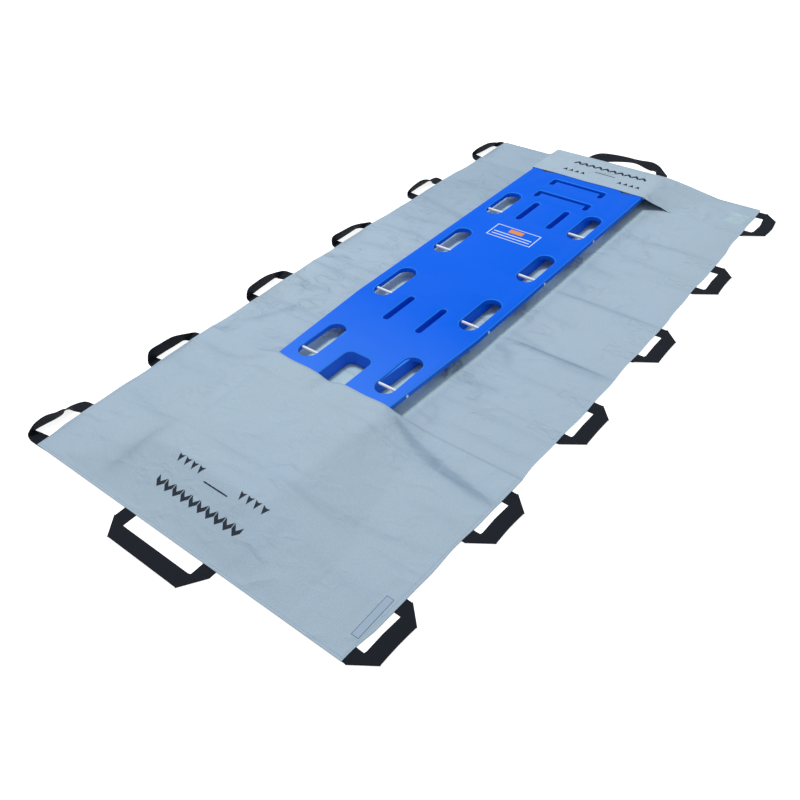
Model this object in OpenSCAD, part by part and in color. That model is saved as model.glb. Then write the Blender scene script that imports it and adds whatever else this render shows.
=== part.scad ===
// Fabric patient carrier lying on the ground, with a rigid spine board held in its two pockets.
// +Y runs from the foot end to the head end, +X to the right seen from the foot, +Z is up.
// The sheet's own middle is the working origin, and place() moves the whole to its stated origin.

/* [Carrier cloth] */
// Cut length of the cloth, foot edge to head edge
sheet_len = 2032; // [1980:1:2200]
// Cut width of the cloth at the middle of its length
sheet_w = 1012; // [960:1:1200]
// How far each long side draws in from the middle to the corners
side_draw = 22; // [0:1:35]
// Thickness of the nonwoven cloth
cloth_t = 1; // [0.6:0.1:1.4]
// Air between a layer of cloth and the stitches or the cloth under it
layer_gap = 0.1; // [0.1:0.05:0.3]
// Width of the sewn hem along the foot edge
hem_w = 12; // [8:1:20]

/* [Foot pocket] */
// Depth of the foot pocket at the sides, foot edge to mouth
foot_pocket_depth = 572; // [480:1:620]
// How far the mouth is drawn towards the foot where it crosses the board
foot_mouth_draw = 22; // [0:1:40]
// Width of the slope beside the board at the mouth
foot_mouth_slope = 98; // [70:1:150]
// Width of the slope beside the board at its foot end
foot_end_slope = 200; // [120:1:220]

/* [Head pocket] */
// How far the head pocket reaches over the board
head_pocket_hold = 155; // [100:1:157]
// How much nearer the head the mouth lies where it meets the cloth
head_mouth_set = 27; // [10:1:50]
// Width of the slope beside the board at the mouth
head_mouth_slope = 58; // [45:1:90]
// Width of the right slope at the head seam
head_right_slope = 180; // [90:1:200]
// Width of the left slope at the head seam
head_left_slope = 52; // [45:1:160]
// How far the raised head seam lies below the board's top
head_seam_drop = 6; // [3:1:14]
// How much a slope of draped cloth sags, as a share of its height
drape_sag = 0.25; // [0:0.05:0.4]

/* [Care label] */
// Length of the sewn label
label_len = 101; // [60:1:120]
// Width of the sewn label
label_w = 15; // [10:1:30]
// Thickness of the label
label_t = 0.4; // [0.3:0.1:0.8]
// Distance from the foot edge to the label
label_from_foot = 55; // [30:1:120]
// Distance from the right side's corner to the label
label_from_side = 12; // [6:1:30]

/* [Webbing handles] */
// Width of the webbing
strap_w = 38; // [30:1:50]
// Thickness of the webbing
strap_t = 1.6; // [1.2:0.1:2.5]
// Handles on each long side
side_handles = 6; // [6]
// Overall width of a side handle along the edge
side_loop_w = 176; // [150:1:220]
// How far a side handle that lies flat reaches out
side_loop_reach = 56; // [48:1:80]
// How far out the standing grip of a left handle lies
stand_reach = 30; // [18:1:60]
// Distance between an outermost side handle and the cloth's corner, before the draw
corner_inset = 6; // [1:1:30]
// How far the handles at mid-length are drawn towards the foot from an even spacing
handle_draw = 29; // [0:1:40]
// Overall width of the foot and head handles
end_loop_w = 292; // [220:1:340]
// How far the foot handle reaches out
foot_loop_reach = 73; // [60:1:90]
// How far the head handle's grip stands out
head_loop_reach = 45; // [26:1:60]
// How far the head handle's grip rises above the seam
head_loop_rise = 21; // [4:1:30]
// How far the head handle's webbing leans at its middle, in degrees
head_loop_tilt = 25; // [0:1:45]
// How far the head handle's webbing is twisted up between its middle and its right root, in degrees
head_loop_twist = 70; // [0:1:80]
// Share of the handle's length over which it twists up, and over which it lies down again to its root
head_twist_share = 0.25; // [0.15:0.05:0.5]
// How square the head handle's arch is, from 1 (round) down
head_loop_square = 0.6; // [0.4:0.05:1]
// Place of the head handle's middle across the carrier
head_loop_x = 20; // [-20:1:20]
// Length of webbing sewn under the cloth at each end of a handle
tail_len = 150; // [90:1:200]
// Air between the cloth's edge and the line that a handle folds on
fold_gap = 0.5; // [0.4:0.1:0.8]

/* [Stitching] */
// Width of a line of stitches
thread_w = 1.2; // [0.8:0.1:2]
// Height of a line of stitches above the cloth
thread_h = 0.25; // [0.2:0.05:0.3]
// Distance from the webbing's sides to its box of stitches
box_inset = 4; // [3:1:8]
// Length of the stitched box on a tail
box_len = 70; // [40:1:80]
// Distance from the cloth's edge to the seam
seam_inset = 6; // [4:1:10]

/* [Spine board] */
// Length of the board
board_len = 1829; // [1780:1:1850]
// Width of the board
board_w = 406; // [380:1:430]
// Overall thickness of the board at its middle
board_t = 43; // [38:1:50]
// Thickness of the board's edge and handles
rim_t = 18; // [15:1:24]
// Width of the thin edge beside the thick middle
rim_w = 85; // [80:1:92]
// Width of the board's foot end
board_foot_w = 328; // [310:1:400]
// Length over which the board narrows
taper_len = 735; // [600:1:900]
// Radius of the board's corners
board_corner_r = 45; // [20:1:60]
// Wall of the moulded shell
shell_wall = 4; // [3:0.5:5]
// Air between the foam core and the shell
core_gap = 0.2; // [0.1:0.1:0.5]
// How far the board lies left of the carrier's middle
board_left = 37; // [0:1:60]
// Distance from the board's head end to the cut head edge of the cloth
board_head_gap = 46; // [44:1:60]
// Air between the board and the cloth that it slides on
board_gap = 0.6; // [0.5:0.1:1]
// Air beside the board and past its ends, to the cloth that comes down there
side_clear = 1; // [0.6:0.1:3]

/* [Board openings] */
// Width of a handhold
hold_w = 55; // [45:1:60]
// Length of a handhold
hold_len = 160; // [130:1:180]
// Web between a handhold and the board's edge
hold_web = 30; // [25:1:34]
// How much nearer the middle the foot pair lies
hold_foot_set = 18; // [10:1:25]
// Distance from the board's head end to the first pair's centre
hold_first = 101; // [95:1:115]
// Distance from the first pair to the second pair
hold_gap_1 = 332; // [320:1:350]
// Distance from the second pair to the third pair
hold_gap_2 = 284; // [275:1:295]
// Distance from the third pair to the fourth pair
hold_gap_3 = 281; // [270:1:290]
// Distance from the fourth pair to the foot pair
hold_gap_4 = 327; // [315:1:345]
// Width of a strap slot
slot_w = 19; // [14:1:24]
// Length of a strap slot
slot_len = 128; // [100:1:150]
// Distance between the middles of a pair of strap slots
slot_apart = 109; // [90:1:130]
// Distance from the board's head end to the head pair's centre
slot_head_from = 435; // [415:1:450]
// Distance from the board's head end to the foot pair's centre
slot_foot_from = 1096; // [1070:1:1120]
// Overall width of a three-sided slot
tri_slot_w = 193; // [160:1:210]
// Width of the cut of a three-sided slot
tri_slot_cut = 16; // [12:1:20]
// Length of a three-sided slot's legs, with the bar
tri_slot_leg = 44; // [34:1:60]
// Distance from the board's head end to the first three-sided slot
tri_slot_first = 193; // [185:1:210]
// Distance between the two three-sided slots
tri_slot_pitch = 99; // [85:1:115]
// Width of the middle opening at the foot
mid_hole_w = 82; // [60:1:100]
// Length of the middle opening
mid_hole_len = 200; // [150:1:220]
// Radius of the middle opening's corners
mid_hole_r = 20; // [12:1:28]
// Distance from the board's head end to the middle opening
mid_hole_from = 1318; // [1300:1:1340]

/* [Strap pins] */
// Diameter of a strap pin
pin_d = 8; // [6:0.5:10]
// Distance from a handhold's centre to its pin, towards the foot
pin_set = 46; // [40:1:52]
// Air between a pin and its hole
pin_gap = 0.05; // [0.02:0.01:0.1]
// How far a pin ends past the board's edge
pin_proud = 0.5; // [0:0.1:1.5]
// How far a pin is held in the thick middle
pin_hold = 12; // [8:1:14]

/* [Hidden] */
$fn = 48;

cloth_colour = [0.65, 0.72, 0.79];
webbing_colour = [0.08, 0.09, 0.12];
thread_colour = [0.35, 0.40, 0.46];
board_colour = [0.0, 0.38, 0.95];

half_len = sheet_len / 2;
half_corner = sheet_w / 2 - side_draw;
base_low = strap_t;
base_top = base_low + cloth_t;
seam_gap = thread_h + layer_gap;
panel_low = base_top + seam_gap;
panel_top = panel_low + cloth_t;

board_low = base_top + board_gap;
board_top = board_low + board_t;
board_head_y = half_len - board_head_gap;
board_foot_y = board_head_y - board_len;
cover_low = board_top + board_gap;

// Half the cloth's width at a place along it, and the slope of its side there
function half_w(y) = half_corner + side_draw * (1 - pow(y / half_len, 2));
function side_slope(y) = -2 * side_draw * y / (half_len * half_len);

// Half the board's width at a place along it
taper_y = board_foot_y + taper_len;
function board_half(y) =
  y >= taper_y ? board_w / 2
  : board_w / 2 - (board_w - board_foot_w) / 2 * min(1, (taper_y - y) / taper_len);

// Share of the height that draped cloth keeps at share s of its slope
function drape(s) = s <= 0 ? 1 : s >= 1 ? 0 : (1 - s) * (1 - drape_sag * s);
function mix(a, b, s) = a + (b - a) * s;

// The head end: the cloth past the board turns up about fold_y to the raised seam
fold_y = board_head_y + side_clear;
turn_len = half_len - fold_y;
seam_rise = board_top - head_seam_drop - base_low;
board_left_x = -board_left - board_w / 2 - side_clear;
board_right_x = -board_left + board_w / 2 + side_clear;
function slope_share(x, left_run, right_run) =
  x < board_left_x ? (board_left_x - x) / left_run : (x - board_right_x) / right_run;
function seam_lift(x) = seam_rise * drape(slope_share(x, head_left_slope, head_right_slope));
function turn_angle(x) = asin(seam_lift(x) / turn_len);
function seam_y(x) = fold_y + turn_len * cos(turn_angle(x)) - cloth_t * sin(turn_angle(x));
function seam_z(x) = base_low + seam_lift(x) + cloth_t * cos(turn_angle(x));

// The head handle stands out past the corner of its own sewn ends
head_turn = turn_angle(0);
head_root_y = fold_y + turn_len * cos(head_turn) + strap_t * sin(head_turn) + fold_gap;
head_root_z = seam_z(0) - strap_t / 2;

origin_x = (stand_reach - side_loop_reach) / 2;
origin_y = (half_len + fold_gap + foot_loop_reach
  - head_root_y - head_loop_reach - strap_w / 2 * cos(head_loop_tilt)) / 2;

// Moves what is drawn about the sheet's middle to the part's origin
module place() {
  translate([origin_x, origin_y, 0]) children();
}

// Faces of a closed sheet whose lower and upper points are a grid of rows by columns
function sheet_faces(nr, nc) = let (n = nr * nc, last = (nr - 1) * nc) concat(
  [for (i = [0:nr - 2], j = [0:nc - 2], f = [
    [n + i * nc + j, n + (i + 1) * nc + j, n + (i + 1) * nc + j + 1],
    [n + i * nc + j, n + (i + 1) * nc + j + 1, n + i * nc + j + 1],
    [i * nc + j, (i + 1) * nc + j + 1, (i + 1) * nc + j],
    [i * nc + j, i * nc + j + 1, (i + 1) * nc + j + 1]]) f],
  [for (j = [0:nc - 2], f = [
    [j, n + j, n + j + 1],
    [j, n + j + 1, j + 1],
    [last + j, n + last + j + 1, n + last + j],
    [last + j, last + j + 1, n + last + j + 1]]) f],
  [for (i = [0:nr - 2], a = [i * nc], b = [i * nc + nc - 1], f = [
    [a + nc, n + a + nc, n + a],
    [a + nc, n + a, a],
    [b, n + b, n + b + nc],
    [b, n + b + nc, b + nc]]) f]
);

// A closed sheet from a grid of lower points and a grid of upper points
module sheet_solid(low, high) {
  polyhedron(
    points = concat([for (r = low, p = r) p], [for (r = high, p = r) p]),
    faces = sheet_faces(len(low), len(low[0])),
    convexity = 6
  );
}

slope_shares = [1 / 3, 2 / 3, 1];

// Columns across the cloth: sides, slopes beside the board, and the board's width
function columns(y, half_board, left_run, right_run) =
  let (l = -board_left - half_board - side_clear, r = -board_left + half_board + side_clear)
  concat(
    [-half_w(y)],
    [for (k = [2:-1:0]) l - left_run * slope_shares[k]],
    [l, -board_left, r],
    [for (k = [0:2]) r + right_run * slope_shares[k]],
    [half_w(y)]
  );
column_drape = [0, 0, drape(2 / 3), drape(1 / 3), 1, 1, 1, drape(1 / 3), drape(2 / 3), 0, 0];

// Base sheet: flat on the ground, its head end turned up round the board
base_rows = 14;
function base_row(i) = mix(-half_len, fold_y, i / base_rows);

function base_point(x, y, up) = [x, y, base_low + up * cloth_t];
function fold_point(x, up) =
  [x, fold_y - up * cloth_t * tan(turn_angle(x) / 2), base_low + up * cloth_t];
function edge_point(x, up) = let (a = turn_angle(x)) [
  x,
  fold_y + turn_len * cos(a) - up * cloth_t * sin(a),
  base_low + turn_len * sin(a) + up * cloth_t * cos(a)
];

function base_grid(up) = concat(
  [for (i = [0:base_rows - 1]) let (y = base_row(i))
    [for (x = columns(y, board_w / 2, head_left_slope, head_right_slope)) base_point(x, y, up)]],
  [[for (x = columns(fold_y, board_w / 2, head_left_slope, head_right_slope)) fold_point(x, up)]],
  [[for (x = columns(half_len, board_w / 2, head_left_slope, head_right_slope)) edge_point(x, up)]]
);

module base_sheet() {
  color(cloth_colour) place() sheet_solid(base_grid(0), base_grid(1));
}

// Foot pocket: a full-width panel from the mouth, over the board, down to the foot hem
foot_mouth_side_y = foot_pocket_depth - half_len;
toe_y = board_foot_y - side_clear;
hem_y = hem_w - half_len;
foot_rows = 5;
toe_shares = [1 / 3, 2 / 3, 1];

function foot_run(y) =
  mix(foot_mouth_slope, foot_end_slope, min(1, (foot_mouth_side_y - y) / (foot_mouth_side_y - toe_y)));
function foot_columns(y) = columns(y, board_half(y), foot_run(y), foot_run(y));
function foot_mouth_y(j) = foot_mouth_side_y - foot_mouth_draw * column_drape[j];
function panel_z(share, up) = mix(panel_low, cover_low, share) + up * cloth_t;

function foot_grid(up) = concat(
  [[for (j = [0:10]) [foot_columns(-half_len)[j], -half_len, panel_z(0, up)]]],
  [for (k = [2:-1:0]) let (y = mix(toe_y, hem_y, toe_shares[k]), c = foot_columns(y))
    [for (j = [0:10]) [c[j], y, panel_z(min(column_drape[j], drape(toe_shares[k])), up)]]],
  [for (i = [0:foot_rows]) let (s = i / foot_rows, c = foot_columns(mix(toe_y, foot_mouth_side_y, s)))
    [for (j = [0:10]) [c[j], mix(toe_y, foot_mouth_y(j), s), panel_z(column_drape[j], up)]]]
);

module foot_pocket() {
  color(cloth_colour) place() sheet_solid(foot_grid(0), foot_grid(1));
}

// Head pocket: a full-width panel from the mouth, over the board's head, to the raised seam
head_mouth_y = board_head_y - head_pocket_hold;
head_rows = 4;
function head_run(y, end_run) = mix(head_mouth_slope, end_run, (y - head_mouth_y) / (half_len - head_mouth_y));
function head_columns(y) =
  columns(y, board_w / 2, head_run(y, head_left_slope), head_run(y, head_right_slope));
function head_mouth_at(j) = head_mouth_y + head_mouth_set * (1 - column_drape[j]);

function head_grid(up) = concat(
  [for (i = [0:head_rows]) let (s = i / head_rows, c = head_columns(mix(head_mouth_y, fold_y, s)))
    [for (j = [0:10]) [c[j], mix(head_mouth_at(j), fold_y, s), panel_z(column_drape[j], up)]]],
  [[for (x = head_columns(half_len)) [x, seam_y(x), seam_z(x) + seam_gap + up * cloth_t]]]
);

module head_pocket() {
  color(cloth_colour) place() sheet_solid(head_grid(0), head_grid(1));
}

module care_label() {
  label_low_y = -half_len + label_from_foot;
  color([0.78, 0.82, 0.86]) place()
    translate([half_corner - label_from_side - label_w, label_low_y, panel_top])
      cube([label_w, label_len, label_t]);
}

// The line that a handle folds on lies just past the cloth's edge, level with its top
fold_z = panel_top;
side_pitch = (sheet_len - side_loop_w - 2 * corner_inset) / (side_handles - 1);
function even_y(i) = (i - (side_handles + 1) / 2) * side_pitch;
function handle_y(i) = even_y(i) - handle_draw * (1 - pow(even_y(i) / half_len, 2));

// Local +X runs outwards from the fold line of side handle i, on side -1 (left) or 1 (right)
module on_side(side, i) {
  y = handle_y(i);
  place() translate([side * (half_w(y) + fold_gap), y, 0])
    rotate([0, 0, atan2(-side_slope(y), side)]) children();
}

module at_foot() {
  place() translate([0, -half_len - fold_gap, 0]) rotate([0, 0, -90]) children();
}

// A loop of webbing lying flat, folded at 45 degrees at its two corners
module flat_loop(width, reach) {
  h = width / 2;
  linear_extrude(strap_t) polygon([
    [0, -h], [reach - strap_w, -h], [reach, strap_w - h],
    [reach, h - strap_w], [reach - strap_w, h], [0, h],
    [0, h - strap_w], [reach - strap_w, h - strap_w],
    [reach - strap_w, strap_w - h], [0, strap_w - h]
  ]);
}

// A loop whose legs lie flat and whose grip stands on its edge
module standing_loop(width, reach) {
  for (s = [-1, 1])
    translate([0, s * (width - strap_w) / 2 - strap_w / 2, 0]) cube([reach, strap_w, strap_t]);
  translate([reach, width / 2, 0]) rotate([90, 0, 0]) linear_extrude(width)
    polygon([[-strap_t, 0], [0, 0], [0, strap_w], [-strap_t, strap_w]]);
}

module left_handle(i) {
  color(webbing_colour) on_side(-1, i) standing_loop(side_loop_w, stand_reach);
}

module right_handle(i) {
  color(webbing_colour) on_side(1, i) flat_loop(side_loop_w, side_loop_reach);
}

module foot_handle() {
  color(webbing_colour) at_foot() flat_loop(end_loop_w, foot_loop_reach);
}

// Head handle: an arch of webbing that stands out from the raised seam and twists to its right end
head_steps = 24;
head_span = (end_loop_w - strap_w) / 2;
function unit(v) = v / norm(v);
function head_line(s) = [
  head_loop_x - head_span * cos(180 * s),
  head_root_y + head_loop_reach * pow(sin(180 * s), head_loop_square),
  head_root_z + head_loop_rise * pow(sin(180 * s), head_loop_square)
];
function ease(s) = let (t = min(1, max(0, s))) t * t * (3 - 2 * t);
function head_roll(s) = s < 0.5 ? head_loop_tilt * sin(180 * s)
  : mix(head_loop_tilt, head_loop_twist, ease((s - 0.5) / head_twist_share))
    * ease((1 - s) / head_twist_share);
function head_along(s) =
  s < 0.02 ? [0, 1, 0] : s > 0.98 ? [0, -1, 0] : unit(head_line(s + 0.01) - head_line(s - 0.01));

// Section of a strap at share s: four corners round its centre line
function head_section(s) = let (
  along = head_along(s),
  outward = unit(cross([0, 0, 1], along)),
  normal = cos(head_roll(s)) * cross(along, outward) + sin(head_roll(s)) * outward,
  across = cross(along, normal) * strap_w / 2,
  thick = normal * strap_t / 2,
  c = head_line(s)
) [c + across + thick, c - across + thick, c - across - thick, c + across - thick];

// Faces of a closed bar whose sections have four corners each
function bar_faces(sections) = concat(
  [[0, 1, 2], [0, 2, 3]],
  [for (i = [0:sections - 2], k = [0:3], f = [
    [4 * i + k, 4 * i + 4 + k, 4 * i + 4 + (k + 1) % 4],
    [4 * i + k, 4 * i + 4 + (k + 1) % 4, 4 * i + (k + 1) % 4]]) f],
  [let (e = 4 * (sections - 1)) [e, e + 2, e + 1], let (e = 4 * (sections - 1)) [e, e + 3, e + 2]]
);

module head_handle() {
  color(webbing_colour) place() polyhedron(
    points = [for (i = [0:head_steps], p = head_section(i / head_steps)) p],
    faces = bar_faces(head_steps + 1),
    convexity = 6
  );
}

// The two sewn ends of a handle, flat under the cloth
module flat_tails(width) {
  for (s = [-1, 1])
    translate([-fold_gap - tail_len, s * (width - strap_w) / 2 - strap_w / 2, 0])
      cube([tail_len, strap_w, strap_t]);
}

module left_tails(i) {
  color(webbing_colour) on_side(-1, i) flat_tails(side_loop_w);
}

module right_tails(i) {
  color(webbing_colour) on_side(1, i) flat_tails(side_loop_w);
}

module foot_tails() {
  color(webbing_colour) at_foot() flat_tails(end_loop_w);
}

// The head handle's ends follow the cloth that turns up past the board
module head_tails() {
  a = head_turn;
  end_y = fold_y + turn_len * cos(a);
  end_z = base_low + turn_len * sin(a);
  color(webbing_colour) place() for (s = [-1, 1])
    translate([head_loop_x + s * head_span - strap_w / 2, 0, 0])
      rotate([90, 0, 90]) linear_extrude(strap_w) polygon([
        [fold_y + turn_len - tail_len, 0],
        [fold_y + strap_t * tan(a / 2), 0],
        [end_y + strap_t * sin(a), end_z - strap_t * cos(a)],
        [end_y, end_z],
        [fold_y, strap_t],
        [fold_y + turn_len - tail_len, strap_t]
      ]);
}

// A box of stitches with a cross in it, centred on the origin
module stitched_box(length, width) {
  diagonal = norm([length, width]) - thread_w;
  linear_extrude(thread_h) {
    difference() {
      square([length, width], center = true);
      square([length - 2 * thread_w, width - 2 * thread_w], center = true);
    }
    for (s = [-1, 1]) rotate(s * atan2(width, length)) square([diagonal, thread_w], center = true);
  }
}

// The stitched boxes that hold a handle's two sewn ends to the base sheet, under any pocket
module tail_boxes(width, from_edge) {
  for (s = [-1, 1])
    translate([-fold_gap - from_edge - box_len / 2, s * (width - strap_w) / 2, base_top])
      stitched_box(box_len, strap_w - 2 * box_inset);
}

box_from_edge = 2 * seam_inset + thread_w;
head_box_from_edge = turn_len + box_inset;

module handle_stitching() {
  color(thread_colour) {
    for (side = [-1, 1], i = [1:side_handles])
      on_side(side, i) tail_boxes(side_loop_w, box_from_edge);
    at_foot() tail_boxes(end_loop_w, hem_w);
    place() translate([head_loop_x, fold_y + turn_len, 0]) rotate([0, 0, 90])
      tail_boxes(end_loop_w, head_box_from_edge);
  }
}

// A line of stitches that follows a list of points, at height z
module seam_line(points, z) {
  back = [for (i = [len(points) - 1:-1:0]) points[i]];
  shift = [-thread_w, 0];
  translate([0, 0, z]) linear_extrude(thread_h)
    polygon(concat(points, [for (p = back) p + (p[0] > 0 ? shift : -shift)]));
}

seam_steps = 6;
function side_seam(side, from_y, to_y) =
  [for (i = [0:seam_steps]) let (y = mix(from_y, to_y, i / seam_steps)) [side * (half_w(y) - seam_inset), y]];

module pocket_stitching() {
  foot_from = -half_len + seam_inset;
  head_from = head_mouth_y + head_mouth_set + thread_w;
  color(thread_colour) place() {
    for (side = [-1, 1]) {
      seam_line(side_seam(side, foot_from, foot_mouth_side_y - thread_w), panel_top);
      seam_line(side_seam(side, head_from, half_len - seam_inset), panel_top);
    }
    translate([-half_w(foot_from) + seam_inset + thread_w, foot_from, panel_top])
      cube([2 * (half_w(foot_from) - seam_inset - thread_w), thread_w, thread_h]);
  }
}

// The board's outline, drawn in by inset, with round corners at its head end
module board_outline(inset) {
  h = board_w / 2 - inset;
  f = board_foot_w / 2 - inset;
  r = board_corner_r - inset;
  difference() {
    polygon([
      [-f, board_foot_y + inset], [f, board_foot_y + inset], [h, taper_y],
      [h, board_head_y - inset], [-h, board_head_y - inset], [-h, taper_y]
    ]);
    for (s = [-1, 1]) difference() {
      translate([s * h - r, board_head_y - inset - r]) square(2 * r);
      translate([s * (h - r), board_head_y - inset - r]) circle(r);
      translate([s * (h - r) - r, board_head_y - inset - 3 * r]) square(2 * r);
      translate([s * (h - 2 * r) - r, board_head_y - inset - 2 * r]) square([2 * r, 4 * r]);
    }
  }
}

// The thick middle, which narrows with the board
module belly_outline(inset) {
  h = board_w / 2 - rim_w - inset;
  f = board_foot_w / 2 - rim_w - inset;
  end_inset = rim_w / 2 + inset;
  polygon([
    [-f, board_foot_y + end_inset], [f, board_foot_y + end_inset], [h, taper_y],
    [h, board_head_y - end_inset], [-h, board_head_y - end_inset], [-h, taper_y]
  ]);
}

// A slot with round ends, centred on the origin, grown all round
module round_slot(width, length, grow) {
  r = width / 2 + grow;
  for (s = [-1, 1]) translate([0, s * (length - width) / 2]) circle(r);
  square([2 * r, length - width], center = true);
}

// A rectangle with round corners, from the origin towards the foot
module round_box(width, length, r, grow) {
  translate([-width / 2 - grow, r - length]) square([width + 2 * grow, length - 2 * r]);
  translate([r - width / 2, -length - grow]) square([width - 2 * r, length + 2 * grow]);
  for (s = [-1, 1], y = [-r, r - length]) translate([s * (width / 2 - r), y]) circle(r + grow);
}

// A three-sided slot: a bar across the board with a leg at each end, towards the foot
module tri_slot(grow) {
  r = tri_slot_cut / 2 + grow;
  span = tri_slot_w / 2 - tri_slot_cut / 2;
  drop = tri_slot_leg - tri_slot_cut;
  translate([-span, -r]) square([2 * span, 2 * r]);
  for (s = [-1, 1]) {
    translate([s * span - r, -drop]) square([2 * r, drop]);
    translate([s * span, -drop]) circle(r);
    translate([s * span, 0]) circle(r);
  }
}

// Middles of the handholds, head pair first, along the board and across it
hold_set = [0, hold_gap_1, hold_gap_1 + hold_gap_2, hold_gap_1 + hold_gap_2 + hold_gap_3,
  hold_gap_1 + hold_gap_2 + hold_gap_3 + hold_gap_4];
function hold_y(k) = board_head_y - hold_first - hold_set[k];
function hold_x(k) = board_w / 2 - hold_web - hold_w / 2 - (k == 4 ? hold_foot_set : 0);

module board_openings(grow) {
  for (k = [0:4], s = [-1, 1])
    translate([s * hold_x(k), hold_y(k)]) round_slot(hold_w, hold_len, grow);
  for (from = [slot_head_from, slot_foot_from], s = [-1, 1])
    translate([s * slot_apart / 2, board_head_y - from]) round_slot(slot_w, slot_len, grow);
  for (k = [0, 1])
    translate([0, board_head_y - tri_slot_first - tri_slot_cut / 2 - k * tri_slot_pitch]) tri_slot(grow);
  translate([0, board_head_y - mid_hole_from]) round_box(mid_hole_w, mid_hole_len, mid_hole_r, grow);
}

// Pins across the handholds, from the thick middle out through the board's edge
function pin_y(k) = hold_y(k) - pin_set;
function pin_in(k) = hold_x(k) - hold_w / 2 - pin_hold;
function pin_out(k) = board_half(pin_y(k)) + pin_proud;
pin_z = board_top - rim_t / 2;

module pins(d, grow) {
  for (k = [0:4], s = [-1, 1])
    translate([s > 0 ? pin_in(k) : -pin_out(k) - grow, pin_y(k), pin_z])
      rotate([0, 90, 0]) cylinder(d = d, h = pin_out(k) - pin_in(k) + grow);
}

// The hollow inside the shell, drawn in by gap
module board_hollow(gap) {
  wall = shell_wall + gap;
  difference() {
    union() {
      translate([0, 0, board_top - rim_t + wall])
        linear_extrude(rim_t - 2 * wall) board_outline(wall);
      translate([0, 0, board_low + wall])
        linear_extrude(board_t - 2 * wall) belly_outline(wall);
    }
    translate([0, 0, board_low]) linear_extrude(board_t) board_openings(wall);
    pins(pin_d + 2 * wall, 0);
  }
}

module board_shell() {
  color(board_colour) place() translate([-board_left, 0, 0]) difference() {
    union() {
      translate([0, 0, board_top - rim_t]) linear_extrude(rim_t) board_outline(0);
      translate([0, 0, board_low]) linear_extrude(board_t) belly_outline(0);
    }
    translate([0, 0, board_low - 1]) linear_extrude(board_t + 2) board_openings(0);
    board_hollow(0);
    pins(pin_d + 2 * pin_gap, 1);
  }
}

module board_foam_core() {
  color([0.93, 0.91, 0.84]) place() translate([-board_left, 0, 0]) board_hollow(core_gap);
}

module strap_pins() {
  color([0.95, 0.95, 0.95]) place() translate([-board_left, 0, 0]) pins(pin_d, 0);
}

base_sheet();
foot_pocket();
head_pocket();
care_label();
left_handle(1);  // left_handle_1
left_handle(2);  // left_handle_2
left_handle(3);  // left_handle_3
left_handle(4);  // left_handle_4
left_handle(5);  // left_handle_5
left_handle(6);  // left_handle_6
right_handle(1);  // right_handle_1
right_handle(2);  // right_handle_2
right_handle(3);  // right_handle_3
right_handle(4);  // right_handle_4
right_handle(5);  // right_handle_5
right_handle(6);  // right_handle_6
foot_handle();
head_handle();
left_tails(1);  // left_tails_1
left_tails(2);  // left_tails_2
left_tails(3);  // left_tails_3
left_tails(4);  // left_tails_4
left_tails(5);  // left_tails_5
left_tails(6);  // left_tails_6
right_tails(1);  // right_tails_1
right_tails(2);  // right_tails_2
right_tails(3);  // right_tails_3
right_tails(4);  // right_tails_4
right_tails(5);  // right_tails_5
right_tails(6);  // right_tails_6
foot_tails();
head_tails();
handle_stitching();
pocket_stitching();
board_shell();
board_foam_core();
strap_pins();
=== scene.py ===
"""Looks of the fabric patient carrier: its cloths, webbing, stitches, marks and spine board.

Sizes are in millimetres about the middle of the cloth, as the part's source has them, and
to_frame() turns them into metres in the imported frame.
"""

import math

import bmesh
import bpy
import numpy as np
from mathutils import Matrix, Vector


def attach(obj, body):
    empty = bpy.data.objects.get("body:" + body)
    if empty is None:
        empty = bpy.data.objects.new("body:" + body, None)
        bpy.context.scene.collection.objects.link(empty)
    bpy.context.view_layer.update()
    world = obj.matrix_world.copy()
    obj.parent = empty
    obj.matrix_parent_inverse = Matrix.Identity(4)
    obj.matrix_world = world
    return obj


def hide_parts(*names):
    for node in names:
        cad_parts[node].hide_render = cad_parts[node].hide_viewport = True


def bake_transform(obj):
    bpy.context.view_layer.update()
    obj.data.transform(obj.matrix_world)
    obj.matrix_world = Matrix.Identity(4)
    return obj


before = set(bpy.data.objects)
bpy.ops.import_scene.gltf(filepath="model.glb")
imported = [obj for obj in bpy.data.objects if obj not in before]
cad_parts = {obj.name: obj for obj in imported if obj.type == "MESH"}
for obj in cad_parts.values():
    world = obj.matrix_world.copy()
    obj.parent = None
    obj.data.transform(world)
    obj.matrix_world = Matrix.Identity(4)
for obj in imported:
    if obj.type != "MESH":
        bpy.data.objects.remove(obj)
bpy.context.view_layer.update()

# Sizes of the carrier

# The cloth and the webbing: lengths, thicknesses and the heights at which they lie
HALF_LEN = 1016.0
HALF_CORNER = 484.0
SIDE_DRAW = 22.0
CLOTH = 1.0
PANEL = 0.7
STRAP_T = 1.6
STRAP_W = 38.0
LAYER_GAP = 0.35
BASE_LOW = STRAP_T
BASE_TOP = BASE_LOW + CLOTH
PANEL_LOW = BASE_TOP + LAYER_GAP
FOLD_GAP = 0.5

# The spine board: its middle line, its ends, half its width at the head and at the foot, the
# length of its taper, and its rim
BOARD_X = -37.0
BOARD_LOW = 3.2
BOARD_TOP = 46.2
BOARD_HEAD = 970.0
BOARD_FOOT = -859.0
BOARD_HALF = 203.0
BOARD_FOOT_HALF = 164.0
TAPER = 735.0
RIM_T = 18.0
RIM_W = 85.0
BELLY_TOP = BOARD_TOP - 6.0
COVER_LOW = BOARD_TOP + 0.6

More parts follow.
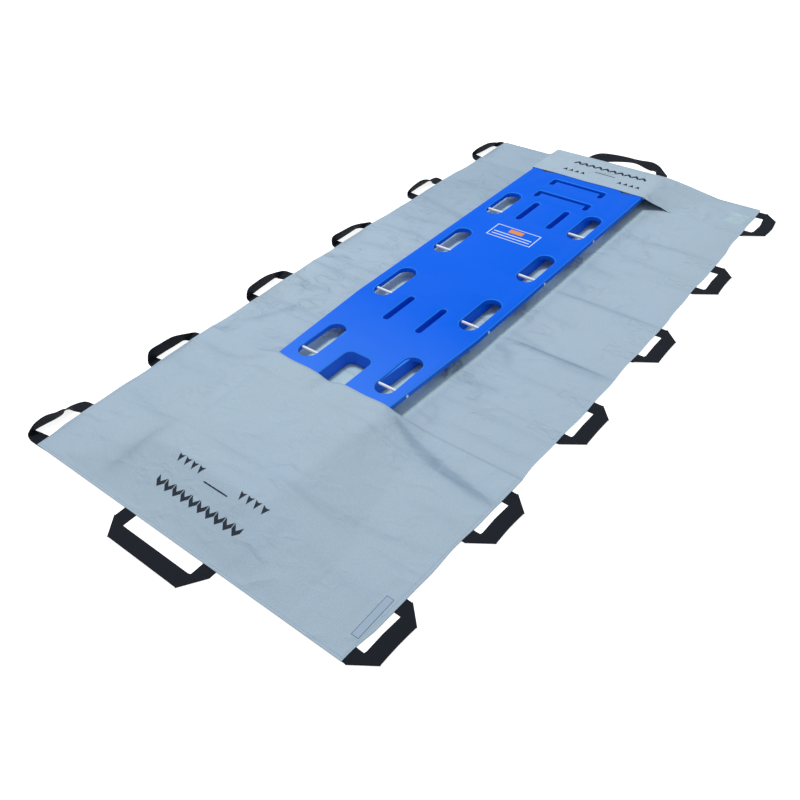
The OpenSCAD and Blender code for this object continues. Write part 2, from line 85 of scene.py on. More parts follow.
# Where the cloth turns up at the head, the pockets' mouths, the toe and the sewn label
FOLD_Y = BOARD_HEAD + 1.0
TURN_LEN = HALF_LEN - FOLD_Y
SEAM_RISE = BELLY_TOP - BASE_LOW
HEAD_MOUTH = 815.0
FOOT_MOUTH = -444.0
TOE_Y = BOARD_FOOT - 1.0
HEM_Y = -1004.0
LABEL_X, LABEL_Y = 465.0, -910.0
LABEL_HALF_W, LABEL_HALF_LEN = 9.0, 53.0

# The loops: their widths, their sewn ends, how far they reach, and where they bend
LOOP_W = 176.0
HALF_LOOP = LOOP_W / 2
TAIL = 150.0
SEWN_X = -TAIL - FOLD_GAP
END_LOOP_W = 292.0
LEFT_REACH = 30.0
RIGHT_REACH = 56.0
FOOT_REACH = 73.0
HEAD_REACH = 45.0
HEAD_TILT = 25.0
HEAD_X = 20.0
HEAD_SPAN = (END_LOOP_W - STRAP_W) / 2

# The raised head edge: how steeply the cloth turns up, and where the head loop leaves it
HEAD_TURN = math.asin(SEAM_RISE / TURN_LEN)
HEAD_ROOT_Y = FOLD_Y + TURN_LEN * math.cos(HEAD_TURN) + STRAP_T * math.sin(HEAD_TURN) + FOLD_GAP
SEAM_Z = BASE_LOW + SEAM_RISE + CLOTH * math.cos(HEAD_TURN)
HEAD_ROOT_Z = SEAM_Z - STRAP_T / 2

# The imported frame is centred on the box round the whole, which the loops' reaches make wider
ORIGIN = np.array([
    (LEFT_REACH - RIGHT_REACH) / 2,
    (HALF_LEN + FOLD_GAP + FOOT_REACH - HEAD_ROOT_Y - HEAD_REACH
     - STRAP_W / 2 * math.cos(math.radians(HEAD_TILT))) / 2,
    0.0,
])


def to_frame(points):
    """Millimetres about the cloth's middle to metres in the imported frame."""
    return (np.asarray(points, float) + ORIGIN) / 1000.0


# Camera

CAMERA_TURNS = (40.3983, 40.5856, -3.176)
CAMERA_PLACE = (1112.2, -1557.9, 1315.8)
CAMERA_LENS = 37.18


def make_camera():
    """The photo's camera, from its azimuth, elevation and roll in degrees."""
    azimuth, elevation, roll = (math.radians(a) for a in CAMERA_TURNS)
    back = Vector((math.sin(azimuth) * math.cos(elevation),
                   -math.cos(azimuth) * math.cos(elevation), math.sin(elevation)))
    level = (-back).cross(Vector((0, 0, 1))).normalized()
    upright = level.cross(-back)
    right = level * math.cos(roll) + upright * math.sin(roll)
    up = -level * math.sin(roll) + upright * math.cos(roll)
    data = bpy.data.cameras.new("photo_camera")
    data.lens = CAMERA_LENS
    data.sensor_width = 36.0
    data.sensor_fit = "HORIZONTAL"
    data.clip_start = 0.05
    camera = bpy.data.objects.new("photo_camera", data)
    place = Matrix((right, up, back)).transposed().to_4x4()
    place.translation = Vector(to_frame(CAMERA_PLACE))
    camera.matrix_world = place
    bpy.context.scene.collection.objects.link(camera)
    bpy.context.scene.camera = camera


make_camera()
bpy.context.scene.view_settings.view_transform = "Standard"


# Material helpers

def srgb(red, green, blue):
    """A colour given as 0 to 255, as the shader wants it."""
    out = []
    for value in (red, green, blue):
        c = value / 255.0
        out.append(c / 12.92 if c <= 0.04045 else ((c + 0.055) / 1.055) ** 2.4)
    return (*out, 1.0)


class Nodes:
    """Short calls for making nodes in one tree."""

    def __init__(self, tree):
        self.tree = tree

    def add(self, kind, inputs=None, **settings):
        node = self.tree.nodes.new(kind)
        for key, value in settings.items():
            setattr(node, key, value)
        for key, value in (inputs or {}).items():
            self.feed(node.inputs[key], value)
        return node

    def feed(self, socket, value):
        if isinstance(value, bpy.types.NodeSocket):
            self.tree.links.new(value, socket)
        else:
            socket.default_value = value

    def math(self, operation, a, b=0.0):
        return self.add("ShaderNodeMath", {0: a, 1: b}, operation=operation).outputs[0]

    def vector(self, operation, a, inputs):
        return self.add("ShaderNodeVectorMath", {0: a, **inputs}, operation=operation).outputs[0]

    def mix(self, factor, a, b):
        node = self.add("ShaderNodeMix", data_type="RGBA")
        for key, value in (("Factor", factor), ("A", a), ("B", b)):
            self.feed(node.inputs[key], value)
        return node.outputs["Result"]

    def mask(self, name):
        return self.add("ShaderNodeAttribute", attribute_name=name).outputs["Fac"]

    def place(self, kind="Object"):
        return self.add("ShaderNodeTexCoord").outputs[kind]

    def noise(self, vector, scale, detail, rough=0.5):
        node = self.add("ShaderNodeTexNoise", {
            "Vector": vector, "Scale": scale, "Detail": detail, "Roughness": rough})
        return node.outputs[0]

    def ramp(self, value, low, high, to_low=0.0, to_high=1.0):
        node = self.add("ShaderNodeMapRange", {
            "Value": value, "From Min": low, "From Max": high, "To Min": to_low, "To Max": to_high})
        return node.outputs[0]


def new_group(name, inputs, outputs):
    """A shader node group with named sockets; inputs are (name, kind, value)."""
    tree = bpy.data.node_groups.new(name, "ShaderNodeTree")
    for label, kind, value in inputs:
        socket = tree.interface.new_socket(label, in_out="INPUT", socket_type="NodeSocket" + kind)
        if value is not None:
            socket.default_value = value
    for label, kind in outputs:
        tree.interface.new_socket(label, in_out="OUTPUT", socket_type="NodeSocket" + kind)
    make = Nodes(tree)
    return tree, make, make.add("NodeGroupInput").outputs, make.add("NodeGroupOutput").inputs


def tone_group():
    """Uneven tone: clouds and speckle laid over one colour."""
    tree, make, given, out = new_group(
        "uneven_tone",
        [("Vector", "Vector", None), ("Colour", "Color", (1, 1, 1, 1)),
         ("Cloud Scale", "Float", 4.0), ("Cloud Depth", "Float", 0.05),
         ("Speckle Scale", "Float", 600.0), ("Speckle Depth", "Float", 0.05)],
        [("Colour", "Color"), ("Cloud", "Float")])
    cloud = make.noise(given["Vector"], given["Cloud Scale"], 3.0)
    speckle = make.noise(given["Vector"], given["Speckle Scale"], 1.0)
    shift = make.math("ADD", *(
        make.math("MULTIPLY", make.math("SUBTRACT", part, 0.5), given[depth])
        for part, depth in ((cloud, "Cloud Depth"), (speckle, "Speckle Depth"))))
    value = make.math("ADD", shift, 1.0)
    make.feed(out["Colour"], make.vector("SCALE", given["Colour"], {"Scale": value}))
    make.feed(out["Cloud"], cloud)
    return tree


def grain_group():
    """Raised grain for a Bump node: bonded dots of the cloth over soft fibre."""
    tree, make, given, out = new_group(
        "bonded_grain",
        [("Vector", "Vector", None), ("Dot Scale", "Float", 400.0),
         ("Fibre Scale", "Float", 900.0), ("Fibre Depth", "Float", 0.4)],
        [("Height", "Float")])
    dots = make.add("ShaderNodeTexVoronoi", {
        "Vector": given["Vector"], "Scale": given["Dot Scale"], "Randomness": 0.2})
    pressed = make.ramp(dots.outputs["Distance"], 0.12, 0.42)
    fibre = make.noise(given["Vector"], given["Fibre Scale"], 2.0)
    raised = make.math("MULTIPLY", fibre, given["Fibre Depth"])
    make.feed(out["Height"], make.math("ADD", pressed, raised))
    return tree


TONE = tone_group()
GRAIN = grain_group()


def new_material(name, roughness, specular, sheen=0.0):
    """A material with its node calls and its shader, whose plain values are set here."""
    material = bpy.data.materials.new(name)
    material.use_nodes = True
    make = Nodes(material.node_tree)
    shader = material.node_tree.nodes["Principled BSDF"]
    shader.inputs["Roughness"].default_value = roughness
    shader.inputs["Specular IOR Level"].default_value = specular
    shader.inputs["Sheen Weight"].default_value = sheen
    return material, make, shader


def warped(make, vector, scale, depth):
    """The same places pushed about by noise, so that what lies on them wanders."""
    noise = make.add("ShaderNodeTexNoise", {"Vector": vector, "Scale": scale, "Detail": 3.0})
    push = make.vector("SCALE", noise.outputs["Color"], {"Scale": depth})
    return make.vector("ADD", vector, {1: push})


def toned(make, vector, colour, clouds, speckle):
    """The uneven tone placed in a material; clouds and speckle are each a scale and a depth."""
    node = make.add("ShaderNodeGroup", node_tree=TONE)
    for key, value in (("Vector", vector), ("Colour", colour),
                       ("Cloud Scale", clouds[0]), ("Cloud Depth", clouds[1]),
                       ("Speckle Scale", speckle[0]), ("Speckle Depth", speckle[1])):
        make.feed(node.inputs[key], value)
    return node.outputs


def bumped(make, shader, height, distance, strength):
    bump = make.add("ShaderNodeBump",
                    {"Height": height, "Distance": distance, "Strength": strength})
    make.feed(shader.inputs["Normal"], bump.outputs["Normal"])


def fold_lines(make, vector, scale, width):
    """Long wandering creases that come and go: 1 on a crease, 0 beside it."""
    stretched = make.vector("MULTIPLY", vector, {1: (1.0, 1.6, 1.0)})
    away = make.math("ABSOLUTE", make.math("SUBTRACT", make.noise(stretched, scale, 2.0), 0.5))
    line = make.ramp(away, 0.0, width, 1.0, 0.0)
    broken = make.ramp(make.noise(vector, scale * 0.7 + 1.3, 1.0), 0.42, 0.6)
    return make.math("MULTIPLY", line, broken)


def nonwoven_material():
    """Laminated nonwoven: pale blue-grey, matt, with bonded dots, painted shade along its packing
    creases and fine crumple lines, and painted light near the board.
    """
    material, make, shader = new_material("nonwoven_cloth", 0.72, 0.3, 0.08)
    cut = make.place("UV")
    colour = toned(make, cut, srgb(166, 185, 200), (5.0, 0.12), (260.0, 0.22))["Colour"]
    used = make.mask("crumple")
    wide_fold = fold_lines(make, warped(make, cut, 6.0, 0.05), 5.5, 0.08)
    fine_fold = fold_lines(make, warped(make, cut, 14.0, 0.03), 15.0, 0.11)
    patches = make.ramp(make.noise(cut, 2.4, 4.0, 0.6), 0.35, 0.7)
    # Painted shade along the fine crumple lines, stronger where the cloth is more crumpled
    lines = make.math("MULTIPLY", fine_fold, used)
    # Colours laid over the tone, in turn: painted shade through the crease mask, random bluish
    # patches, painted light beside the board and a pale patch through the third mask, and painted
    # shade along the fine crumple lines
    for where, share, tint in ((make.mask("crease"), 0.62, srgb(112, 137, 160)),
                               (patches, 0.30, srgb(158, 178, 202)),
                               (make.mask("pale_patch_and_painted_light"), 0.6, srgb(196, 226, 222)),
                               (lines, 0.13, srgb(112, 136, 156))):
        colour = make.mix(make.math("MULTIPLY", where, share), colour, tint)
    make.feed(shader.inputs["Base Color"], colour)
    grain = make.add("ShaderNodeGroup", {"Vector": cut, "Dot Scale": 230.0}, node_tree=GRAIN)
    soft = make.noise(cut, 24.0, 5.0, 0.6)
    folded = make.math("ADD", make.math("MULTIPLY", wide_fold, 1.9),
                       make.math("MULTIPLY", fine_fold, 0.9))
    depth = make.math("ADD", 0.2, make.math("MULTIPLY", used, 1.25))
    height = make.math("ADD", make.math("MULTIPLY", make.math("ADD", folded, soft), depth),
                       make.math("MULTIPLY", grain.outputs[0], 0.07))
    bumped(make, shader, height, 0.004, 0.75)
    return material


def webbing_material():
    """Near-black woven webbing: lengthwise ribs crossed by the weft."""
    material, make, shader = new_material("black_webbing", 0.75, 0.2)
    split = make.add("ShaderNodeSeparateXYZ", {0: make.place("UV")})
    across, along = split.outputs[0], split.outputs[1]
    rib = make.math("ABSOLUTE", make.math("SINE", make.math("MULTIPLY", across, 1650.0)))
    weft = make.math("ADD", make.math("MULTIPLY", along, 1900.0), make.math("MULTIPLY", rib, 1.2))
    weft = make.math("ABSOLUTE", make.math("SINE", weft))
    woven = make.math("MULTIPLY", rib, make.math("ADD", 0.35, make.math("MULTIPLY", weft, 0.65)))
    tone = toned(make, make.place(), srgb(9, 15, 23), (14.0, 0.35), (900.0, 0.3))
    make.feed(shader.inputs["Base Color"], make.mix(woven, tone["Colour"], srgb(24, 31, 41)))
    bumped(make, shader, woven, 0.0005, 0.7)
    return material


def board_material():
    """Moulded polyethylene: deep blue with a fine orange-peel skin and faint scuffs, a painted
    sheen towards its foot and painted highlights on its rounded rims.
    """
    material, make, shader = new_material("moulded_board", 0.42, 0.05)
    place = make.place()
    tone = toned(make, place, srgb(0, 95, 229), (5.0, 0.06), (160.0, 0.03))
    scuffs = make.ramp(make.noise(place, 60.0, 6.0, 0.7), 0.62, 0.8)
    rubbed = make.mix(make.math("MULTIPLY", scuffs, 0.12), tone["Colour"], srgb(70, 135, 250))
    # Painted sheen: the colour is drawn lighter towards the board's foot
    along = make.add("ShaderNodeSeparateXYZ", {0: place}).outputs["Y"]
    painted_foot_sheen = make.mix(make.ramp(along, -0.1, -0.45, 0.0, 0.55), rubbed, srgb(72, 132, 242))
    # Painted highlight: light blue on the rounded edges of the rim and its openings
    edge = make.math("MULTIPLY", make.mask("painted_rim_highlight"), 0.75)
    make.feed(shader.inputs["Base Color"], make.mix(edge, painted_foot_sheen, srgb(70, 160, 255)))
    make.feed(shader.inputs["Roughness"], make.ramp(tone["Cloud"], 0.3, 0.7, 0.36, 0.46))
    bumped(make, shader, make.noise(place, 190.0, 2.0), 0.0004, 0.35)
    return material


def plain_material(name, colour, roughness, depth, scale, height, sheen=0.0):
    """One colour with uneven tone and a fine grain, for small pieces."""
    material, make, shader = new_material(name, roughness, 0.3, sheen)
    place = make.place()
    tone = toned(make, place, colour, (9.0, depth), (scale * 2.0, depth))
    make.feed(shader.inputs["Base Color"], tone["Colour"])
    bumped(make, shader, make.noise(place, scale, 3.0), height, 0.5)
    return material


CLOTH_LOOK = nonwoven_material()
WEBBING_LOOK = webbing_material()
BOARD_LOOK = board_material()
THREAD_LOOK = plain_material("cloth_thread", srgb(150, 170, 190), 0.8, 0.1, 1500.0, 0.0001, 0.1)
INK_LOOK = plain_material("printed_ink", srgb(30, 40, 54), 0.7, 0.25, 500.0, 0.0001)
LABEL_LOOK = plain_material("label_tape", srgb(158, 178, 198), 0.75, 0.05, 900.0, 0.0001)
OUTLINE_LOOK = plain_material("label_edge", srgb(92, 112, 132), 0.8, 0.15, 900.0, 0.0001)
PIN_LOOK = plain_material("white_pin", srgb(236, 238, 240), 0.4, 0.03, 400.0, 0.0001)
FOAM_LOOK = plain_material("rigid_foam", srgb(236, 232, 214), 0.9, 0.1, 700.0, 0.0008)
PANEL_WHITE = plain_material("panel_white", srgb(214, 226, 242), 0.5, 0.08, 500.0, 0.0001)
PANEL_ORANGE = plain_material("panel_orange", srgb(226, 140, 60), 0.5, 0.08, 500.0, 0.0001)


# Mesh helpers

def link(name, mesh, *materials):
    obj = bpy.data.objects.new(name, mesh)
    bpy.context.scene.collection.objects.link(obj)
    for material in materials:
        mesh.materials.append(material)
    return obj


def smooth(mesh, degrees=38.0):
    """Smooth shading, with edges sharper than this left sharp."""
    mesh.shade_smooth()
    mesh.set_sharp_from_angle(angle=math.radians(degrees))


def mesh_of(obj, name):
    """The plain mesh that an object's curve or modifiers come to."""
    bpy.context.view_layer.update()
    evaluated = obj.evaluated_get(bpy.context.evaluated_depsgraph_get())
    mesh = bpy.data.meshes.new_from_object(evaluated)
    mesh.name = name
    return mesh


def apply_modifiers(obj):
    mesh = mesh_of(obj, obj.data.name)
    obj.modifiers.clear()
    obj.data = mesh


def set_uv(mesh, per_vertex):
    layer = mesh.uv_layers.new(name="cut")
    corners = np.empty(len(mesh.loops), dtype=np.int32)
    mesh.loops.foreach_get("vertex_index", corners)
    layer.data.foreach_set("uv", np.asarray(per_vertex, np.float32)[corners].ravel())


def set_mask(mesh, name, values):
    layer = mesh.attributes.new(name, "FLOAT", "POINT")
    layer.data.foreach_set("value", np.asarray(values, np.float32))


def shell(name, top, cut, thickness, crease, crumple=0.15, pale_patch_and_painted_light=0.0):
    """A closed thin cloth whose upper face is a grid of points, rows towards the head.

    The thickness and the three masks are numbers or grids: crease marks where shade is painted
    into the cloth's colour, crumple how crumpled it looks, which also sets painted shade along its
    fine fold lines, and the last where the cloth is painted paler: painted light beside the board,
    and a pale patch on the head pocket."""
    rows, cols = top.shape[:2]
    lean = np.cross(np.gradient(top, axis=1), np.gradient(top, axis=0))
    lean /= np.linalg.norm(lean, axis=2, keepdims=True)
    low = top - lean * np.broadcast_to(thickness, top.shape[:2])[..., None]
    points = np.concatenate([top.reshape(-1, 3), low.reshape(-1, 3)])
    index = np.arange(rows * cols).reshape(rows, cols)
    a, b, c, d = (corner.ravel() for corner in
                  (index[:-1, :-1], index[:-1, 1:], index[1:, 1:], index[1:, :-1]))
    faces = [np.stack([a, b, c, d], 1), np.stack([a, d, c, b], 1) + rows * cols]
    rim = np.concatenate([index[0, :-1], index[:-1, -1], index[-1, :0:-1], index[:0:-1, 0]])
    after = np.roll(rim, -1)
    faces.append(np.stack([rim, rim + rows * cols, after + rows * cols, after], 1))
    mesh = bpy.data.meshes.new(name)
    mesh.from_pydata(to_frame(points).tolist(), [], np.concatenate(faces).tolist())
    flat = np.asarray(cut, float).reshape(-1, 2) / 1000.0
    set_uv(mesh, np.concatenate([flat, flat]))
    for label, values in (("crease", crease), ("crumple", crumple), ("pale_patch_and_painted_light", pale_patch_and_painted_light)):
        spread = np.broadcast_to(values, (rows, cols)).ravel()
        set_mask(mesh, label, np.concatenate([spread, spread]))
    smooth(mesh)
    return link(name, mesh, CLOTH_LOOK)


CELLS = 97


def lattice_noise(seed, size):
    """A smooth, repeatable bumpiness of the given wavelength, from -1 to 1."""
    table = np.random.default_rng(seed).uniform(-1.0, 1.0, (CELLS, CELLS))

    def value(x, y):
        gx, gy = np.asarray(x) / size + 40.37, np.asarray(y) / size + 51.91
        ix, iy = np.floor(gx).astype(int), np.floor(gy).astype(int)
        fx, fy = (f * f * f * (f * (6 * f - 15) + 10) for f in (gx - ix, gy - iy))
        (a, b), (c, d) = ([table[i % CELLS, j % CELLS] for i in (ix, ix + 1)] for j in (iy, iy + 1))
        return (a * (1 - fx) + b * fx) * (1 - fy) + (c * (1 - fx) + d * fx) * fy

    return value


SWELL = lattice_noise(11, 230.0)
ROLL = lattice_noise(12, 95.0)
RUMPLE = lattice_noise(13, 41.0)
FADE = lattice_noise(14, 130.0)


def ease(value):
    t = np.clip(value, 0.0, 1.0)
    return t * t * (3.0 - 2.0 * t)


def mix(a, b, share):
    return a + (b - a) * share


# How the cloth lies

def half_w(y):
    """Half the cloth's width: its long edges bow out between the corners."""
    return HALF_CORNER + SIDE_DRAW * (1.0 - (np.asarray(y) / HALF_LEN) ** 2)


def side_slope(y):
    """How fast that half width changes along the cloth."""
    return -2.0 * SIDE_DRAW * y / HALF_LEN**2


def board_half(y):
    """Half the board's width, less towards its foot."""
    taper_y = BOARD_FOOT + TAPER
    share = np.clip((taper_y - np.asarray(y)) / TAPER, 0.0, 1.0)
    return BOARD_HALF - (BOARD_HALF - BOARD_FOOT_HALF) * share


def drape(share, rounding):
    """Share of the height that draped cloth keeps down a slope, rounded where it bends."""
    total = 0.0
    for step in (-1.0, -0.5, 0.0, 0.5, 1.0):
        s = np.clip(np.asarray(share) + step * rounding, 0.0, 1.0)
        total = total + (1.0 - s) * (1.0 - 0.25 * s)
    return total / 5.0


def lower_of(a, b):
    """The lower of two shares, with the corner between them rounded."""
    a, b = np.maximum(a, 0.001), np.maximum(b, 0.001)
    return (a ** -4.0 + b ** -4.0 - 1.0) ** -0.25


def board_sides(half):
    """Where cloth that hangs over the board's two edges leaves them."""
    return BOARD_X - half - 1.0, BOARD_X + half + 1.0


def beside(x, half, left_run, right_run):
    """How far down its slope a point beside the board lies, from 0 at the board to 1."""
    left, right = board_sides(half)
    return np.where(np.asarray(x) < BOARD_X, (left - x) / left_run, (x - right) / right_run)


def places_across(low_x, high_x, half, runs, bend, counts):
    """Places across a pocket that keep to the board's edges and to the foot of each slope."""
    left, right = board_sides(half)
    knots = (low_x, left - runs[0], left - bend, left + bend,
             right - bend, right + bend, right + runs[1], high_x)
    out = [low_x]
    for a, b, n in zip(knots, knots[1:], counts):
        out.extend(a + (b - a) * (k + 1) / n for k in range(n))
    return np.array(out)


def beside_line(x, y, ends):
    """For each stretch of a line of points: how far off it places are, and how far along."""
    done = 0.0
    for p, q in zip(ends, ends[1:]):
        length = math.dist(p, q)
        ux, uy = (q[0] - p[0]) / length, (q[1] - p[1]) / length
        t = np.clip((x - p[0]) * ux + (y - p[1]) * uy, 0.0, length)
        yield np.hypot(x - p[0] - t * ux, y - p[1] - t * uy), done + t
        done += length


def stroke(x, y, ends, height, width):
    """A wrinkle along a line of points, tapering at its ends."""
    best = np.zeros(np.broadcast(x, y).shape)
    total = sum(math.dist(p, q) for p, q in zip(ends, ends[1:]))
    for away, along_it in beside_line(x, y, ends):
        share = np.clip(along_it / total, 0.02, 0.98)
        taper = np.sqrt(np.clip(np.sin(np.pi * share), 0.0, 1.0))
        best = np.maximum(best, np.exp(-(away / width)) * taper)
    return best * height


# Wrinkles of the base sheet and of the two pockets: the points, the height and the width
BASE_WRINKLES = [
    ([(-500, 660), (-380, 652), (-255, 664)], 2.2, 7),
    ([(-500, 497), (-400, 470), (-255, 430)], 3.4, 9),
    ([(-500, 262), (-360, 270), (-255, 262)], 3.6, 8),
    ([(-500, 22), (-370, 16), (-250, 24)], 3.2, 8),
    ([(-500, -30), (-380, -44), (-250, -57)], 3.2, 8),
    ([(-500, -252), (-360, -246), (-245, -250)], 3.4, 8),
    ([(-502, -448), (-476, -440), (-456, -424)], 4.0, 7),
    ([(-472, -398), (-420, -340), (-372, -236)], 3.6, 9),
    ([(-452, -400), (-462, -424), (-446, -446)], 2.4, 6),
    ([(-486, -180), (-420, -140), (-330, -128)], 3.0, 11),
    ([(-480, 120), (-410, 150), (-330, 150)], 3.0, 11),
    ([(-478, 360), (-400, 350), (-300, 372)], 2.8, 10),
    ([(-330, 120), (-300, 150), (-262, 168)], 1.6, 12),
    ([(170, 236), (330, 242), (500, 236)], 3.0, 8),
    ([(175, -33), (297, -30), (399, -31), (492, -30)], 7.0, 6),
    ([(176, 8), (230, -6), (300, -18)], 3.4, 8),
    ([(330, -44), (410, -50), (484, -42)], 3.0, 6),
    ([(180, -60), (230, -86), (262, -132)], 5.0, 14),
    ([(176, -120), (300, -146), (500, -140)], 1.8, 8),
    ([(168, -210), (230, -236), (300, -226)], 4.0, 13),
    ([(180, -318), (330, -312), (500, -316)], 2.2, 8),
    ([(190, -395), (340, -388), (500, -394)], 1.6, 8),
    ([(346, -181), (360, -196), (346, -212)], 2.0, 5),
    ([(206, -352), (224, -390), (230, -432)], 2.4, 8),
    ([(196, 800), (200, 760), (206, 720)], 1.6, 8),
    ([(182, 560), (250, 520), (340, 506), (500, 498)], 1.8, 9),
    ([(176, 430), (222, 404), (292, 396)], 3.6, 12),
    ([(176, 330), (236, 300), (260, 262)], 3.6, 11),
    ([(170, 640), (300, 634), (500, 640)], 1.8, 7),
    ([(300, 880), (380, 905), (500, 900)], 2.2, 16),
    ([(180, 150), (240, 120), (330, 112)], 2.0, 13),
]
FOOT_WRINKLES = [
    ([(-497, -506), (-382, -516), (-229, -481)], 3.0, 9),
    ([(-196, -742), (-199, -660), (-205, -500)], 1.6, 4),
    ([(-262, -985), (-247, -900), (-238, -790)], 4.0, 16),
    ([(150, -470), (230, -492), (330, -520), (490, -548)], 6.0, 12),
    ([(229, -497), (252, -512), (273, -508)], 1.8, 6),
    ([(48, -783), (200, -770), (340, -748), (490, -716)], 2.0, 8),
    ([(-497, -745), (-360, -770), (-248, -793)], 1.8, 8),
    ([(-120, -786), (-30, -783), (48, -783)], 1.0, 7),
    ([(176, -840), (190, -900), (186, -940)], 1.8, 10),
    ([(162, -926), (168, -970), (160, -1003)], 1.6, 9),
    ([(-300, -560), (-262, -640), (-250, -716)], 1.0, 12),
    ([(-497, -604), (-400, -612), (-300, -590)], 1.2, 12),
    ([(320, -640), (420, -628), (495, -640)], 1.4, 11),
    ([(-420, -900), (-330, -912), (-240, -900)], 1.2, 14),
    ([(240, -860), (330, -880), (430, -876)], 1.2, 14),
]
PLEAT = [(176, -478), (238, -498), (330, -521), (490, -549)]
HEAD_WRINKLES = [
    ([(424, 942), (456, 866)], 3.0, 15),
    ([(250, 886), (320, 930), (350, 985)], 2.0, 16),
    ([(-470, 905), (-380, 925), (-320, 900)], 1.6, 14),
]
PACK_CREASES = (-783.0, -535.0, -277.0, -31.0, 239.0, 440.0, 630.0)


def soft_relief(x, y):
    """The cloth's gentle unevenness, never below zero."""
    return np.maximum(0.0, 1.0 + 1.0 * SWELL(x, y) + 0.7 * ROLL(x, y) + 0.35 * RUMPLE(x, y))


def wrinkle_relief(x, y, wrinkles):
    """The height of a list of wrinkles, laid over one another."""
    total = np.zeros(np.broadcast(x, y).shape)
    for ends, height, width in wrinkles:
        total = total + stroke(x, y, ends, height, width)
    return total


def packing_relief(x, y):
    """Creases across the cloth from its packing, stronger and weaker along each."""
    total = np.zeros(np.broadcast(x, y).shape)
    for k, line in enumerate(PACK_CREASES):
        away = np.abs(y - line - 3.0 * ROLL(x, line + 7.0 * k))
        total = total + np.exp(-away / 3.2) * (0.55 + 0.45 * FADE(x, line))
    return total


def near_belly(x, y):
    """0 where the board's thick middle lies on the cloth, 1 well clear of it."""
    out = np.abs(x - BOARD_X) - (board_half(y) - RIM_W)
    past = np.maximum(y - (BOARD_HEAD - 40.0), (BOARD_FOOT + 40.0) - y)
    return ease((np.maximum(out, past) - 4.0) / 30.0)


def base_relief(x, y):
    """The base sheet's relief where it lies open, flat under the pockets and the board."""
    open_part = ease((y - FOOT_MOUTH) / 26.0) * ease((HEAD_MOUTH + 21.0 - y) / 40.0)
    edge = 0.35 + 0.65 * ease((half_w(y) - np.abs(x)) / 40.0)
    body = (soft_relief(x, y) * edge + wrinkle_relief(x, y, BASE_WRINKLES)
            + 2.0 * packing_relief(x, y))
    return body * open_part * near_belly(x, y)


def edge_drawn(x, y):
    """The same places with the cloth's long edges drawn in a little here and there."""
    wave = 1.7 * np.sin(y / 58.0 + 0.6) + 1.2 * np.sin(y / 23.0) + 2.6 * FADE(x * 0.0, y)
    near_edge = ease((np.abs(x) - half_w(y) + 70.0) / 70.0) ** 2
    return x - np.sign(x) * np.clip(2.2 + wave, 0.0, 5.5) * near_edge


# The head end: the cloth past the board turns up to the raised seam

def seam_lift(x):
    """How high the head seam is raised: full over the board, less beside it."""
    return SEAM_RISE * drape(beside(x, BOARD_HALF, 52.0, 180.0), 0.04)


def turn_angle(x):
    return np.arcsin(np.clip(seam_lift(x) / TURN_LEN, 0.0, 0.999))


def seam_y(x):
    return FOLD_Y + TURN_LEN * np.cos(turn_angle(x)) - CLOTH * np.sin(turn_angle(x))


def seam_z(x):
    return BASE_LOW + seam_lift(x) + CLOTH * np.cos(turn_angle(x))


def base_points(x, y):
    """Upper face of the base sheet at flat places x, y."""
    past = y - FOLD_Y
    turned = 0.5 * (past + np.sqrt(past * past + 25.0))  # past where above 0, rounded off at 0
    angle = turn_angle(x)
    over = ease(past / 8.0 + 0.5)
    flat_y = y - turned * (1.0 - np.cos(angle)) - CLOTH * np.sin(angle) * over
    height = BASE_LOW + turned * np.sin(angle) + CLOTH * (1 - (1 - np.cos(angle)) * over)
    return np.stack([edge_drawn(x, y), flat_y, height + base_relief(x, y)], -1)


def spaced(start, stop, step):
    return np.linspace(start, stop, max(2, int(round(abs(stop - start) / step)) + 1))


def with_lines(values, lines, reach=6.0):
    """Grid lines with three more at each crease, so that it stays sharp."""
    extra = [v for line in lines for v in (line - reach, line, line + reach)]
    keep = [v for v in values if all(abs(v - e) > 2.5 for e in extra)]
    low, high = values[0], values[-1]
    return np.array(sorted({low, high, *keep, *[e for e in extra if low < e < high]}))


def base_cloth():
    rows = with_lines(spaced(-HALF_LEN, HALF_LEN, 7.2), (*PACK_CREASES, FOLD_Y), 3.6)
    share = np.linspace(-1.0, 1.0, 143)
    y, s = np.meshgrid(rows, share, indexing="ij")
    x = s * half_w(y)
    off = np.abs(x - BOARD_X)
    # Painted shade, through the crease mask: darker along the packing creases and wrinkles, and on
    # the cloth left of the board, more so towards the head
    painted_left_shade = 0.6 * ease((BOARD_X - BOARD_HALF - x) / 60.0) * ease((y - 180.0) / 360.0)
    crease = np.clip(packing_relief(x, y) * 0.5 + wrinkle_relief(x, y, BASE_WRINKLES) * 0.16
                     + painted_left_shade * (1.0 + 0.5 * SWELL(x, y)), 0.0, 1.0)
    near_board = np.where(x < BOARD_X, ease((640.0 - off) / 320.0), ease((420.0 - off) / 220.0))
    past_mouth = ease((y + 460.0) / 80.0)
    crumple = (0.35 + 0.65 * near_board) * (0.6 + 0.4 * FADE(x, y)) * past_mouth \
        * (1.0 - 0.55 * ease((y - 560.0) / 200.0) * (x > 0))
    pushed = ease((x - BOARD_X) / 100.0) * ease((340.0 - off) / 160.0) * ease((320.0 - y) / 200.0)
    crumple = crumple + 0.5 * pushed * (0.7 + 0.3 * FADE(x, y)) * past_mouth
    # Painted light: the cloth in the board's shadow beside it, and under it, is painted paler and
    # greener
    pale_patch_and_painted_light = ease((board_half(y) + 34.0 - off) / 34.0) \
        * ease((y - BOARD_FOOT) / 30.0) * ease((BOARD_HEAD - y) / 30.0)
    obj = shell("base_cloth", base_points(x, y), np.stack([x, y], -1), CLOTH,
                crease * near_belly(x, y), np.clip(crumple, 0.05, 1.4), pale_patch_and_painted_light)
    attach(obj, "carrier")
    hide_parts("base_sheet")


# Foot pocket

